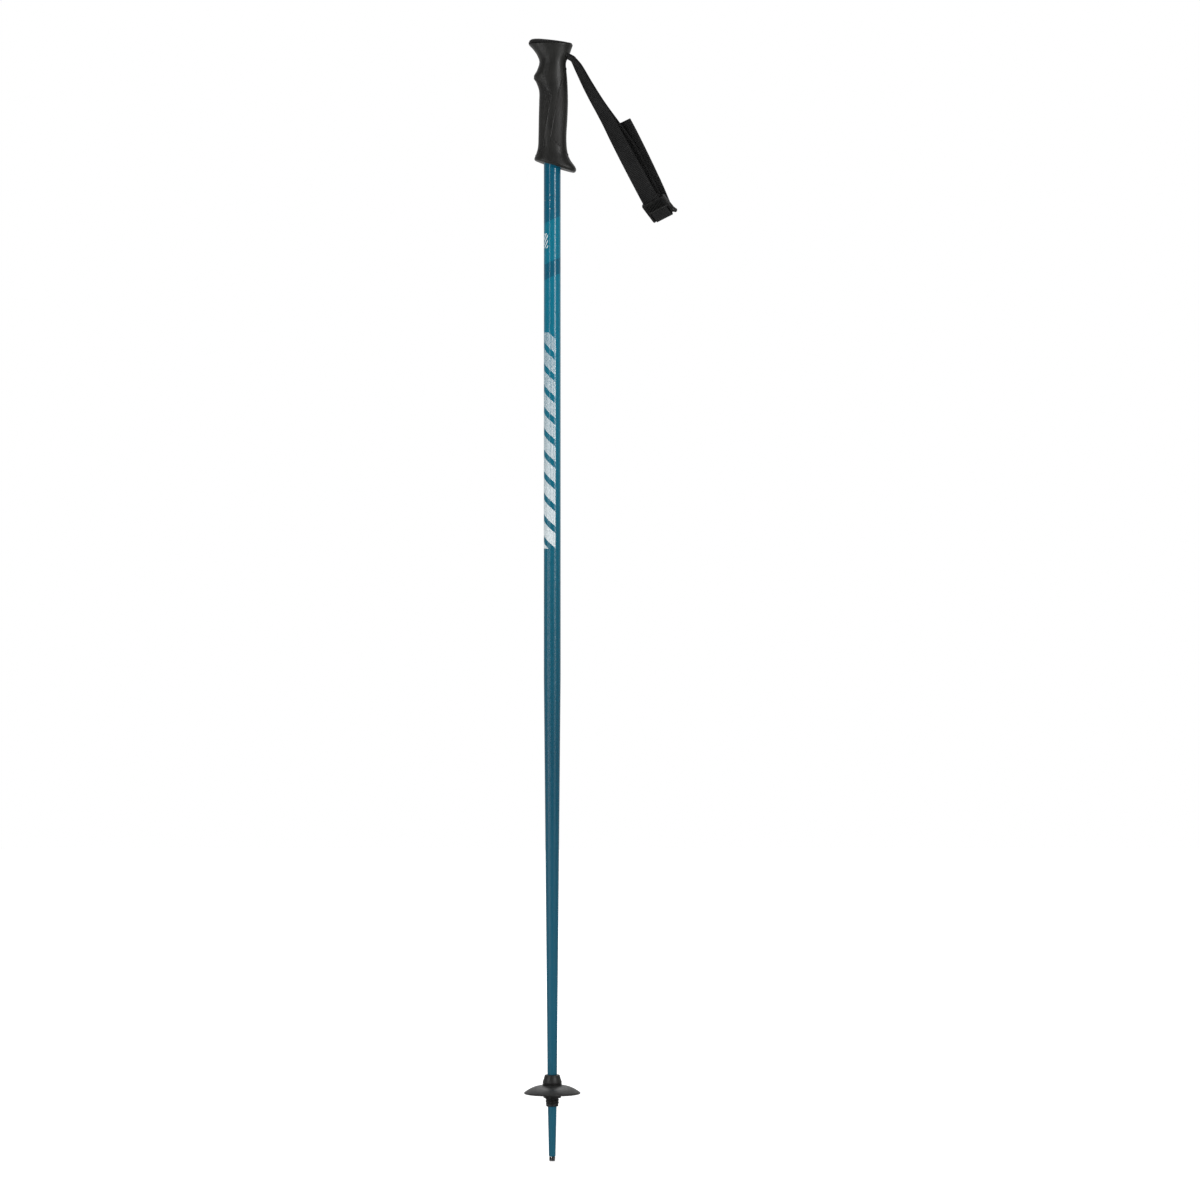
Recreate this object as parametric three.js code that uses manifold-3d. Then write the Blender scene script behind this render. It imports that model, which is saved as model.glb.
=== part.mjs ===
// An alpine ski pole: tapered aluminium shaft, two-component grip with a webbing wrist strap and a
// ladder-lock buckle, a screw-on snow basket and a steel tip.
// Millimetres, +Z up. Heights are measured from the end of the tip; the whole group is then lowered
// so that the origin is on the shaft's axis at the middle of the grip. The grip's nose points to -X
// and the strap leaves the grip's back towards +X.
import * as THREE from "three";
import { mergeVertices } from "three/addons/utils/BufferGeometryUtils.js";
import Module from "manifold-3d";

const wasm = await Module();
wasm.setup();

// ---- Driving dimensions ----
const HAND_HEIGHT = 1125; // middle of the grip above the tip, the part's origin
const GAP = 0.3; // clearance between pieces that touch
const ROUND = 32; // facets round a turned piece
const EDGE = 0.3; // small broken edge on a turned piece

const SHAFT = {
  top: 1172,
  bottom: 4.9,
  radius: 9,
  taperTop: 517,
  basketHeight: 95,
  basketRadius: 5.15,
  sleeveHeight: 58,
  sleeveRadius: 4.75,
  endRadius: 3.6,
  wall: 0.9,
  endBore: 2.6,
  endBoreTop: 30,
};

const TIP = {
  headRadius: 3.35,
  bodyRadius: 2.3,
  shankTop: 24,
  cupDepth: 1.4,
  cupLip: 1, // width of the ring round the cup
  flutes: 8,
  fluteRadius: 0.75,
  fluteOut: 0.25, // how far a flute's axis lies outside the head
  fluteStop: 0.6, // height left whole above the flutes
};

const SLEEVE = {
  bottom: 58.4,
  ringTop: 61.1,
  ringRadius: 6.55,
  threadRoot: 6.75,
  threadCrest: 7.3,
  pitch: 2.75,
  threadTop: 82.9,
  collarTop: 92.2,
  collarBottomRadius: 10.25,
  collarTopRadius: 7.9,
  collarSkirt: 2.8, // height of the nearly straight part under the cone
};

const BASKET = {
  radius: 30.2,
  hubTop: 81.4,
  hubTopRadius: 10.1,
  rimTop: 73,
  rimBottom: 71.9,
  hubBottom: 67.5,
  hubRadius: 9.5,
  facets: 48,
  domeTop: 80.6,
  domeStart: 11.6,
  domePower: 1.9,
  wall: 1.9,
  boreRadius: 7.6,
  ribs: 8,
  ribWidth: 1.6,
  ribFoot: 24, // radius where a rib's lower edge ends
  ribToe: 27, // radius where a rib runs out under the dome
  ribSink: 0.8, // how far a rib reaches into the dome
};

const WASHER = { bottom: 81.7, top: 82.5, outer: 10.5, inner: 7.6 };

// The grip's stations from the lower rim to the head's rim: height, front edge, back edge and the
// half depth across the hand.
const GRIP_STATIONS = [
  [1054, -20.6, 25.6, 17.4],
  [1062, -20.6, 25.3, 17.4],
  [1070.5, -20, 19.7, 16.6],
  [1077, -17.1, 16.8, 15.2],
  [1085, -15.1, 15.4, 14.2],
  [1097, -14.6, 15.1, 13.7],
  [1115, -14.3, 16.1, 13.7],
  [1132, -13.9, 16.7, 13.7],
  [1144.5, -13.9, 16.5, 13.7],
  [1152.5, -16.4, 16.2, 13.8],
  [1159.8, -19.7, 15.7, 13.9],
  [1166.5, -16.4, 15.1, 14],
  [1175.5, -13.8, 14.9, 14.2],
  [1183, -16.2, 18.3, 15],
  [1189.2, -20.5, 20.4, 16.2],
  [1193.2, -24.2, 21.9, 17.2],
  [1194.7, -25.3, 22.2, 17.5],
];
const GRIP_ROUND = 36; // points round a section of the grip
const GRIP_SQUARENESS = 2.35; // exponent of the section's rounded outline
const PAD_DEPTH = 1.8; // thickness of the soft pads let into the grip's core
const HEAD_RIM = 1195; // underside of the top cap
const LOWER_RIM = { frontX: -20, front: 1070.2, backX: 25.3, back: 1057.6 }; // a sloping flat end
const PAD_END = 3; // how far the pads stop above the lower rim
const CAP = { noseX: -20, noseRise: 5.6, slope: 0.122, middleX: -2, tongueDepth: 5 };
const CUT = 40; // half extent of the cuts that go right through the grip
const UNDER_GRIP = 1030;
const OVER_GRIP = 1200;

// Outlines of the two soft pads, seen from the side, as [x, height].
const FRONT_PAD = [
  [-30, 1169.5],
  [-19.6, 1159.5],
  [0.2, 1139.7],
  [-4.6, 1113],
  [-7.9, 1090],
  [-9.2, 1082],
  [-12.6, 1077],
  [-30, 1068],
];
const REAR_PAD = [
  [30, 1171],
  [14.7, 1171],
  [9.2, 1155],
  [5.4, 1139.7],
  [1.4, 1119],
  [-3.3, 1093.9],
  [17, 1075.3],
  [30, 1064],
];

const STRAP_POCKET = { x0: -6, x1: 7.5, halfWidth: 11, bottom: 1179 };
const STRAP_SLOT = { height: 6.6, halfWidth: 11, fall: 0.12 };
const PIN = { x: -0.4, height: 1184, radius: 0.9, halfLength: 13.6 };

const WEBBING = { width: 20, thickness: 1.5 };
const TURN_INNER = PIN.radius + 0.25; // inside of the webbing's turn round the pin
const TURN_REACH = { lower: 17, upper: 17 }; // from the pin to the ends of the turn, inside the slot
// The line of the strap's front leg, from the slot to the buckle's lower end: x, height, twist about
// the line in degrees, and how far the middle of the rear leg lies behind it.
const STRAP_LINE = [
  [18.3, 1179.9, 0, 3.8],
  [19.9, 1178.9, 1, 3.8],
  [22.5, 1175.6, 4, 3.3],
  [26.8, 1169.6, 10, 2.5],
  [37.3, 1150.2, 18, 2.2],
  [47.8, 1131.9, 27, 2.3],
  [61.4, 1108.8, 41, 4.4],
  [81.2, 1071.8, 51, 10.8],
  [100, 1037.1, 58, 7.6],
  [106.9, 1024.8, 62, 4.4],
  [115.4, 1009.5, 63, 4.4],
];
const BUCKLE_STATION = 9; // the station where the front leg reaches the buckle
const FRONT_LEG_STOP = 0.025; // share of the line left free above that station
const REAR_LEG_STOP = 0.023;
// The free end of the webbing behind the rear leg: share of the line, distance behind it, and
// sideways shift.
const TAIL_LINE = [
  [0.445, 12.6, 8.8],
  [0.65, 13.4, 7],
  [0.84, 12, 5.8],
  [0.96, 10.9, 3.9],
];

const BUCKLE = {
  twist: 63, // about the strap's line, like the webbing there
  lean: 28,
  roll: 4,
  shift: 2.1,
  foldShift: -1.2,
  width: 27.4,
  length: 24.6,
  foldOut: 1.4, // how far the fold over the lower bar stands out past the rails
  rise: 2.6,
  cornerRadius: 2.6,
  front: 1.2,
  back: -5.8,
  railWidth: 2.2,
  padLength: 13.5,
  padDepth: 1.6,
};
const BAR_HALF = 0.9; // half the thickness of the buckle's bars
const FOLD_INNER = BAR_HALF + GAP; // inside of the webbing's fold over a bar
const FOLD_OUTER = FOLD_INNER + WEBBING.thickness;
const FOLD_REACH = { lower: 3, upper: 19.6 }; // from the lower bar to the tail and to the front leg
const FRONT_WEB = BUCKLE.front - BUCKLE.padDepth - GAP - WEBBING.thickness / 2; // level behind the pad
const LOWER_BAR = {
  y: FOLD_OUTER - BUCKLE.length / 2 - BUCKLE.foldOut,
  z: FRONT_WEB + WEBBING.thickness / 2 - FOLD_OUTER,
  behind: 0.6, // extents of the bar below and above the middle of its fold
  ahead: 2.2,
};
const UPPER_BAR = {
  y: 9.2,
  z: FRONT_WEB - WEBBING.thickness / 2 - GAP - FOLD_OUTER,
  behind: 0.65,
  ahead: 0.65,
};
const PAD_SLOTS = { count: 6, spacing: 2.4, width: 1, angle: 26, depth: 0.8, across: 19, up: 6.8 };

// ---- Small helpers ----
const rad = THREE.MathUtils.degToRad;

function solid(geometry) {
  const plain = geometry.clone();
  plain.deleteAttribute("normal");
  plain.deleteAttribute("uv");
  const merged = mergeVertices(plain, 1e-4);
  return new wasm.Manifold(
    new wasm.Mesh({
      numProp: 3,
      vertProperties: new Float32Array(merged.attributes.position.array),
      triVerts: new Uint32Array(merged.index.array),
    }),
  );
}

function geometryOf(manifold) {
  const mesh = manifold.getMesh();
  const geometry = new THREE.BufferGeometry();
  geometry.setAttribute("position", new THREE.BufferAttribute(mesh.vertProperties, 3));
  geometry.setIndex(new THREE.BufferAttribute(mesh.triVerts, 1));
  return geometry;
}

function makeMesh(name, shape, colour, roughness, metalness = 0) {
  const geometry = shape.isBufferGeometry ? shape : geometryOf(shape);
  const material = new THREE.MeshStandardMaterial({ color: colour, roughness, metalness });
  const mesh = new THREE.Mesh(geometry, material);
  mesh.name = name;
  return mesh;
}

// A turned solid about +Z from a closed profile of [radius, height].
function turned(profile, segments = ROUND) {
  const points = profile.map(([r, z]) => new THREE.Vector2(r, z));
  points.push(points[0].clone());
  const lathe = new THREE.LatheGeometry(points, segments);
  lathe.rotateX(Math.PI / 2);
  return lathe;
}

function box(x0, x1, y0, y1, z0, z1) {
  const geometry = new THREE.BoxGeometry(x1 - x0, y1 - y0, z1 - z0);
  geometry.translate((x0 + x1) / 2, (y0 + y1) / 2, (z0 + z1) / 2);
  return geometry;
}

// A closed skin through rings of points, with a fan over each end.
function loft(rings) {
  const count = rings[0].length;
  const positions = [];
  const indices = [];
  rings.forEach((ring) => ring.forEach((p) => positions.push(p.x, p.y, p.z)));
  for (let i = 0; i < rings.length - 1; i += 1) {
    for (let j = 0; j < count; j += 1) {
      const a = i * count + j;
      const b = i * count + ((j + 1) % count);
      indices.push(a, b, b + count, a, b + count, a + count);
    }
  }
  const close = (ring, first, forwards) => {
    const middle = new THREE.Vector3();
    ring.forEach((p) => middle.addScaledVector(p, 1 / count));
    const centre = positions.length / 3;
    positions.push(middle.x, middle.y, middle.z);
    for (let j = 0; j < count; j += 1) {
      const a = first + j;
      const b = first + ((j + 1) % count);
      indices.push(centre, forwards ? a : b, forwards ? b : a);
    }
  };
  close(rings[0], 0, false);
  close(rings[rings.length - 1], (rings.length - 1) * count, true);
  const geometry = new THREE.BufferGeometry();
  geometry.setAttribute("position", new THREE.Float32BufferAttribute(positions, 3));
  geometry.setIndex(indices);
  return geometry;
}

// The value of one column of a table of stations at a key, smoothly interpolated.
function along(table, column, key, keyColumn = 0) {
  const last = table.length - 2;
  let i = table.findIndex((row, k) => k <= last && key <= table[k + 1][keyColumn]);
  i = i < 0 ? last : i;
  const span = table[i + 1][keyColumn] - table[i][keyColumn];
  const t = THREE.MathUtils.clamp((key - table[i][keyColumn]) / span, 0, 1);
  const slope = (k) => {
    const low = table[Math.max(k - 1, 0)];
    const high = table[Math.min(k + 1, table.length - 1)];
    return (high[column] - low[column]) / (high[keyColumn] - low[keyColumn]);
  };
  const a = table[i][column];
  const b = table[i + 1][column];
  const ma = slope(i) * span;
  const mb = slope(i + 1) * span;
  const t2 = t * t;
  const t3 = t2 * t;
  return (2 * t3 - 3 * t2 + 1) * a + (t3 - 2 * t2 + t) * ma + (3 * t2 - 2 * t3) * b + (t3 - t2) * mb;
}

// ---- Shaft and tip ----
function shaftTube() {
  const s = SHAFT;
  return turned([
    [s.radius, s.top],
    [s.radius - s.wall, s.top],
    [s.radius - s.wall, s.taperTop],
    [s.basketRadius - s.wall, s.basketHeight],
    [s.sleeveRadius - s.wall, s.sleeveHeight],
    [s.endBore, s.endBoreTop],
    [s.endBore, s.bottom],
    [s.endRadius, s.bottom],
    [s.sleeveRadius, s.sleeveHeight],
    [s.basketRadius, s.basketHeight],
    [s.radius, s.taperTop],
  ]);
}

// A steel stud with a fluted head, a cup in its end and a shank that fills the shaft's bore.
function steelTip() {
  const head = SHAFT.bottom - GAP;
  const stud = solid(
    turned([
      [0, TIP.shankTop],
      [0, TIP.cupDepth],
      [TIP.headRadius - TIP.cupLip, 0],
      [TIP.headRadius - EDGE, 0],
      [TIP.headRadius, EDGE],
      [TIP.headRadius, head],
      [TIP.bodyRadius, head],
      [TIP.bodyRadius, TIP.shankTop],
    ]),
  );
  const length = head - TIP.fluteStop;
  return Array.from({ length: TIP.flutes }).reduce((made, _, i) => {
    const flute = new THREE.CylinderGeometry(TIP.fluteRadius, TIP.fluteRadius, length, 10);
    flute.rotateX(Math.PI / 2);
    flute.translate(TIP.headRadius + TIP.fluteOut, 0, length / 2 - 0.1);
    flute.rotateZ((i * 2 * Math.PI) / TIP.flutes);
    return made.subtract(solid(flute));
  }, stud);
}

// ---- Basket group ----
// How far the thread stands out from its root at an angle and a height: a rounded ridge.
function threadRise(angle, height) {
  const turns = (height - SLEEVE.ringTop) / SLEEVE.pitch - angle / (2 * Math.PI);
  const phase = turns - Math.floor(turns);
  const depth = SLEEVE.threadCrest - SLEEVE.threadRoot;
  return depth * THREE.MathUtils.clamp(1.6 - Math.abs(phase - 0.5) * 6, 0, 1);
}

// The sleeve that is pressed on the shaft: a cone collar above a long helical thread.
function basketSleeve() {
  const s = SLEEVE;
  const rings = [];
  const ring = (height, radiusAt) =>
    rings.push(
      Array.from({ length: ROUND }, (_, i) => {
        const angle = (i * 2 * Math.PI) / ROUND;
        const r = radiusAt(angle);
        return new THREE.Vector3(r * Math.cos(angle), r * Math.sin(angle), height);
      }),
    );
  ring(s.bottom, () => s.ringRadius - EDGE);
  ring(s.bottom + EDGE, () => s.ringRadius);
  ring(s.ringTop, () => s.ringRadius);
  const ringsPerTurn = 4;
  const steps = Math.ceil((ringsPerTurn * (s.threadTop - s.ringTop - 1)) / s.pitch);
  for (let k = 1; k <= steps; k += 1) {
    const height = s.ringTop + (k * s.pitch) / ringsPerTurn;
    ring(height, (angle) => s.threadRoot + threadRise(angle, height));
  }
  ring(s.threadTop, () => s.threadRoot);
  ring(s.threadTop + 0.01, () => s.collarBottomRadius - EDGE);
  ring(s.threadTop + EDGE, () => s.collarBottomRadius);
  ring(s.threadTop + s.collarSkirt, () => s.collarBottomRadius - EDGE);
  ring(s.collarTop - 2 * EDGE, () => s.collarTopRadius + EDGE);
  ring(s.collarTop, () => s.collarTopRadius - EDGE);
  const slope = (SHAFT.basketRadius - SHAFT.sleeveRadius) / (SHAFT.basketHeight - SHAFT.sleeveHeight);
  const boreAt = (z) => SHAFT.sleeveRadius + GAP + slope * (z - SHAFT.sleeveHeight);
  const bore = turned([
    [0, s.bottom - 1],
    [boreAt(s.bottom - 1), s.bottom - 1],
    [boreAt(s.collarTop + 1), s.collarTop + 1],
    [0, s.collarTop + 1],
  ]);
  return solid(loft(rings)).subtract(solid(bore));
}

// Height of the basket's domed top at a radius.
function domeHeight(radius) {
  const b = BASKET;
  const share = Math.max(0, radius - b.domeStart) / (b.radius - b.domeStart);
  return b.domeTop - (b.domeTop - b.rimTop) * share ** b.domePower;
}

// The snow basket: a domed disc with a hub below, stiffened by ribs underneath.
function basketDisc() {
  const b = BASKET;
  const inside = b.hubRadius + 1.2;
  const steps = 6;
  const radii = Array.from({ length: steps + 1 }, (_, i) => inside + ((b.radius - 1 - inside) * i) / steps);
  const under = radii.map((radius) => [radius, Math.max(b.rimBottom, domeHeight(radius) - b.wall)]);
  const over = radii.map((radius) => [radius + 1, domeHeight(radius + 1)]).reverse();
  const dome = solid(
    turned(
      [
        [b.boreRadius, b.hubBottom],
        [b.hubRadius - 0.4, b.hubBottom],
        [b.hubRadius, b.hubBottom + 0.4],
        [b.hubRadius, b.domeTop - b.wall - 1],
        ...under,
        [b.radius, b.rimBottom],
        ...over,
        [b.hubTopRadius, b.hubTop],
        [b.boreRadius, b.hubTop],
      ],
      b.facets,
    ),
  );
  const midway = (b.hubRadius + b.ribToe) / 2;
  const ribSide = new THREE.Shape([
    new THREE.Vector2(b.hubRadius - 1, b.rimTop),
    new THREE.Vector2(b.ribFoot, b.rimTop),
    new THREE.Vector2(b.ribToe, domeHeight(b.ribToe) - b.ribSink),
    new THREE.Vector2(midway, domeHeight(midway) - b.ribSink),
    new THREE.Vector2(b.hubRadius - 1, b.domeTop - b.ribSink),
  ]);
  const rib = new THREE.ExtrudeGeometry(ribSide, { depth: b.ribWidth, bevelEnabled: false });
  rib.rotateX(Math.PI / 2);
  rib.translate(0, b.ribWidth / 2, 0);
  return Array.from({ length: b.ribs }).reduce((made, _, i) => {
    const turnedRib = rib.clone().rotateZ((i * 2 * Math.PI) / b.ribs);
    return made.add(solid(turnedRib));
  }, dome);
}

function basketWasher() {
  const w = WASHER;
  const profile = [
    [w.inner, w.bottom],
    [w.outer, w.bottom],
    [w.outer, w.top],
    [w.inner, w.top],
  ];
  return turned(profile, BASKET.facets);
}

// ---- Grip ----
// The grip's rounded section at a height, drawn in by inset on every side.
function gripSection(height, inset = 0) {
  const front = along(GRIP_STATIONS, 1, height) + inset;
  const back = along(GRIP_STATIONS, 2, height) - inset;
  const depth = along(GRIP_STATIONS, 3, height) - inset;
  const power = 2 / GRIP_SQUARENESS;
  const bend = (v) => Math.sign(v) * Math.abs(v) ** power;
  return Array.from({ length: GRIP_ROUND }, (_, i) => {
    const angle = (i * 2 * Math.PI) / GRIP_ROUND;
    const x = (front + back) / 2 + ((back - front) / 2) * bend(Math.cos(angle));
    return new THREE.Vector3(x, depth * bend(Math.sin(angle)), height);
  });
}

// Heights of the grip's sections, closer together where its outline turns.
function gripHeights() {
  const heights = [];
  GRIP_STATIONS.slice(0, -1).forEach(([height], i) => {
    const span = GRIP_STATIONS[i + 1][0] - height;
    const steps = Math.max(1, Math.round(span / 3.6));
    for (let k = 0; k < steps; k += 1) heights.push(height + (span * k) / steps);
  });
  heights.push(GRIP_STATIONS[GRIP_STATIONS.length - 1][0]);
  return heights;
}

function gripBody(inset = 0) {
  return solid(loft(gripHeights().map((height) => gripSection(height, inset))));
}

// Everything under the grip's sloping lower rim, for cutting it off.
function belowLowerRim(raise = 0) {
  const { frontX, front, backX, back } = LOWER_RIM;
  const slope = (back - front) / (backX - frontX);
  const at = (x) => front + raise + slope * (x - frontX);
  return throughGrip([
    [-CUT, at(-CUT)],
    [-CUT, UNDER_GRIP],
    [CUT, UNDER_GRIP],
    [CUT, at(CUT)],
  ]);
}

// A prism along Y from a shape drawn in the side view.
function sidePrism(shape, halfDepth) {
  const prism = new THREE.ExtrudeGeometry(shape, { depth: 2 * halfDepth, bevelEnabled: false });
  prism.rotateX(Math.PI / 2);
  prism.translate(0, halfDepth, 0);
  return prism;
}

// A cut right through the grip from an outline of [x, height].
function throughGrip(outline) {
  const shape = new THREE.Shape(outline.map(([x, z]) => new THREE.Vector2(x, z)));
  return solid(sidePrism(shape, CUT));
}

// The hard core, with recesses for the pads, the shaft's bore and the strap's pocket and slot.
function gripCore() {
  const recess = (outline) => throughGrip(outline).subtract(gripBody(PAD_DEPTH + GAP));
  const p = STRAP_POCKET;
  const bore = turned([
    [0, UNDER_GRIP],
    [SHAFT.radius + GAP, UNDER_GRIP],
    [SHAFT.radius + GAP, SHAFT.top + GAP],
    [0, SHAFT.top + GAP],
  ]);
  const pocket = box(p.x0, p.x1, -p.halfWidth, p.halfWidth, p.bottom, OVER_GRIP);
  const pinWell = box(
    PIN.x - PIN.radius - GAP,
    PIN.x + PIN.radius + GAP,
    -PIN.halfLength - GAP,
    PIN.halfLength + GAP,
    PIN.height - PIN.radius - GAP,
    OVER_GRIP,
  );
  return gripBody()
    .subtract(belowLowerRim())
    .subtract(recess(FRONT_PAD))
    .subtract(recess(REAR_PAD))
    .subtract(solid(bore))
    .subtract(solid(pocket))
    .subtract(solid(strapSlot()))
    .subtract(solid(pinWell));
}

// The slot that the strap leaves by, falling towards the back in line with the pin.
function strapSlot() {
  const slot = box(0, CUT, -STRAP_SLOT.halfWidth, STRAP_SLOT.halfWidth, -0.5, 0.5);
  slot.scale(1, 1, STRAP_SLOT.height);
  slot.rotateY(STRAP_SLOT.fall);
  slot.translate(PIN.x, 0, PIN.height);
  return slot;
}

// A soft pad: the grip's skin inside the pad's outline, a gap smaller all round.
function gripPad(outline) {
  const shrunk = shrinkOutline(outline, GAP);
  const skin = gripBody().subtract(gripBody(PAD_DEPTH)).subtract(belowLowerRim(PAD_END));
  return skin.intersect(throughGrip(shrunk));
}

// An outline moved inwards by a distance, corner by corner.
function shrinkOutline(outline, distance) {
  const points = outline.map(([x, z]) => new THREE.Vector2(x, z));
  const sign = THREE.ShapeUtils.isClockWise(points) ? 1 : -1;
  return points.map((point, i) => {
    const before = points[(i + points.length - 1) % points.length];
    const after = points[(i + 1) % points.length];
    const into = point.clone().sub(before).normalize();
    const out = after.clone().sub(point).normalize();
    const normalIn = new THREE.Vector2(into.y, -into.x);
    const normalOut = new THREE.Vector2(out.y, -out.x);
    const bisector = normalIn.add(normalOut).normalize();
    const reach = distance / Math.max(0.4, bisector.dot(normalOut));
    return [point.x + sign * reach * bisector.x, point.y + sign * reach * bisector.y];
  });
}

// The crowned cap over the head, highest at the nose, with a tongue down into the strap's pocket.
function gripCap() {
  const rim = gripSection(GRIP_STATIONS[GRIP_STATIONS.length - 1][0]);
  const levels = [
    [1, 0],
    [1, 0.12],
    [0.975, 0.4],
    [0.92, 0.68],
    [0.83, 0.87],
    [0.66, 0.97],
    [0.3, 1],
  ];
  const rings = levels.map(([scale, rise]) =>
    rim.map((p) => {
      const x = CAP.middleX + (p.x - CAP.middleX) * scale;
      const crown = CAP.noseRise - CAP.slope * (x - CAP.noseX);
      return new THREE.Vector3(x, p.y * scale, HEAD_RIM + rise * crown);
    }),
  );
  const p = STRAP_POCKET;
  const tongue = box(
    p.x0 + GAP,
    p.x1 - GAP,
    -p.halfWidth + GAP,
    p.halfWidth - GAP,
    HEAD_RIM - CAP.tongueDepth,
    HEAD_RIM + 0.5,
  );
  return solid(loft(rings)).add(solid(tongue));
}

// ---- Strap ----
const strapCurve = new THREE.CatmullRomCurve3(
  STRAP_LINE.map(([x, z]) => new THREE.Vector3(x, 0, z)),
  false,
  "centripetal",
);

// Directions at a share of the strap's line: along it, across the webbing and out of its back.
function strapFrame(share, twist) {
  const tangent = strapCurve.getTangentAt(share);
  const upRight = new THREE.Vector3(-tangent.z, 0, tangent.x);
  const across = new THREE.Vector3(0, -Math.cos(rad(twist)), 0);
  across.addScaledVector(upRight, Math.sin(rad(twist)));
  const back = new THREE.Vector3(0, Math.sin(rad(twist)), 0);
  back.addScaledVector(upRight, Math.cos(rad(twist)));
  return { tangent, across, back };
}

// The share of the line's length at each of its stations, with the station's twist and gap.
function strapStations() {
  const divisions = 100 * (STRAP_LINE.length - 1);
  const lengths = strapCurve.getLengths(divisions);
  return STRAP_LINE.map(([, , twist, gap], i) => [lengths[i * 100] / lengths[divisions], twist, gap]);
}
const strapTable = strapStations();
const AT_BUCKLE = strapTable[BUCKLE_STATION][0];

// A point behind the strap's line at a share of its length, with its directions.
function strapPoint(share, behind, shift = 0) {
  const { across, back } = strapFrame(share, along(strapTable, 1, share));
  const middle = strapCurve.getPointAt(share);
  middle.addScaledVector(back, behind).addScaledVector(across, shift);
  return { middle, across, back };
}

// A ribbon of webbing through points with directions.
function ribbon(points) {
  const corners = [
    [-1, -1],
    [-1, 1],
    [1, 1],
    [1, -1],
  ];
  const rings = points.map(({ middle, across, back }) =>
    corners.map(([u, v]) => {
      const corner = middle.clone().addScaledVector(across, (u * WEBBING.width) / 2);
      return corner.addScaledVector(back, (v * WEBBING.thickness) / 2);
    }),
  );
  return loft(rings);
}

function shares(count, from, to) {
  return Array.from({ length: count + 1 }, (_, i) => from + ((to - from) * i) / count);
}

function strapFrontLeg() {
  return ribbon(shares(24, 0, AT_BUCKLE - FRONT_LEG_STOP).map((share) => strapPoint(share, 0)));
}

function strapRearLeg() {
  const end = AT_BUCKLE - REAR_LEG_STOP;
  return ribbon(shares(24, 0, end).map((share) => strapPoint(share, along(strapTable, 2, share))));
}

function strapTail() {
  const [from, to] = [TAIL_LINE[0][0], TAIL_LINE[TAIL_LINE.length - 1][0]];
  const at = (share) => strapPoint(share, along(TAIL_LINE, 1, share), along(TAIL_LINE, 2, share));
  return ribbon(shares(12, from, to).map(at));
}

// Webbing folded round a bar along Y: open towards +X, with a front and a rear reach.
function foldedWebbing(inner, reach) {
  const outer = inner + WEBBING.thickness;
  const outline = new THREE.Shape();
  outline.moveTo(reach.lower, -outer);
  outline.lineTo(0, -outer);
  outline.absarc(0, 0, outer, -Math.PI / 2, Math.PI / 2, true);
  outline.lineTo(reach.upper, outer);
  outline.lineTo(reach.upper, inner);
  outline.lineTo(0, inner);
  outline.absarc(0, 0, inner, Math.PI / 2, -Math.PI / 2, false);
  outline.lineTo(reach.lower, -inner);
  return sidePrism(outline, WEBBING.width / 2);
}

// The webbing's turn round the pin inside the head, with both ends running out through the slot.
function strapTurn() {
  const turn = foldedWebbing(TURN_INNER, TURN_REACH);
  turn.rotateY(STRAP_SLOT.fall);
  turn.translate(PIN.x, 0, PIN.height);
  return turn;
}

function strapPin() {
  const pin = new THREE.CylinderGeometry(PIN.radius, PIN.radius, 2 * PIN.halfLength, 16);
  pin.translate(PIN.x, 0, PIN.height);
  return pin;
}

// ---- Buckle ----
// The buckle is drawn flat: x across the webbing, y towards the strap, z out of its front.

// A side rail from x = 0 towards +x, rounded at the back and at the lower front corner.
function buckleRail() {
  const { back, front, length, cornerRadius: r } = BUCKLE;
  const end = length / 2;
  const side = new THREE.Shape();
  side.moveTo(-end + 1, front);
  side.absarc(-end + 1, front - 1, 1, Math.PI / 2, Math.PI, false);
  side.absarc(-end + r, back + r, r, Math.PI, 1.5 * Math.PI, false);
  side.absarc(end - r, back + r, r, 1.5 * Math.PI, 2 * Math.PI, false);
  side.lineTo(end, front);
  const rail = new THREE.ExtrudeGeometry(side, {
    depth: BUCKLE.railWidth,
    bevelEnabled: false,
    curveSegments: 5,
  });
  const [y, z] = [new THREE.Vector3(0, 1, 0), new THREE.Vector3(0, 0, 1)];
  return rail.applyMatrix4(new THREE.Matrix4().makeBasis(y, z, new THREE.Vector3(1, 0, 0)));
}

function buckleFrame() {
  const b = BUCKLE;
  const half = b.width / 2;
  const end = b.length / 2;
  const rail = buckleRail().translate(half - b.railWidth, 0, 0);
  const otherRail = buckleRail().translate(-half, 0, 0);
  const pad = box(1 - half, half - 1, end - b.padLength, end, b.front - b.padDepth, b.front);
  const bar = ({ y, z, behind, ahead }) =>
    box(1 - half, half - 1, y - behind, y + ahead, z - BAR_HALF, z + BAR_HALF);
  const pieces = [rail, otherRail, pad, bar(LOWER_BAR), bar(UPPER_BAR)].map(solid);
  const frame = pieces.reduce((made, piece) => made.add(piece));
  return frame.subtract(padSlots().translate([0, end - b.padLength / 2, 0]));
}

// The slanting slots in the pad's face that give the thumb a hold, kept inside an oblong area.
function padSlots() {
  const { count, spacing, width, angle, depth, across, up } = PAD_SLOTS;
  const { front } = BUCKLE;
  const slots = Array.from({ length: count }, (_, i) => {
    const slot = box(-across, across, -width / 2, width / 2, front - depth, front + 1);
    slot.translate(0, (i - (count - 1) / 2) * spacing, 0);
    return solid(slot.rotateZ(rad(angle)));
  });
  const area = box(-across / 2, across / 2, -up / 2, up / 2, front - depth, front + 1);
  return slots.reduce((made, slot) => made.add(slot)).intersect(solid(area));
}

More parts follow.
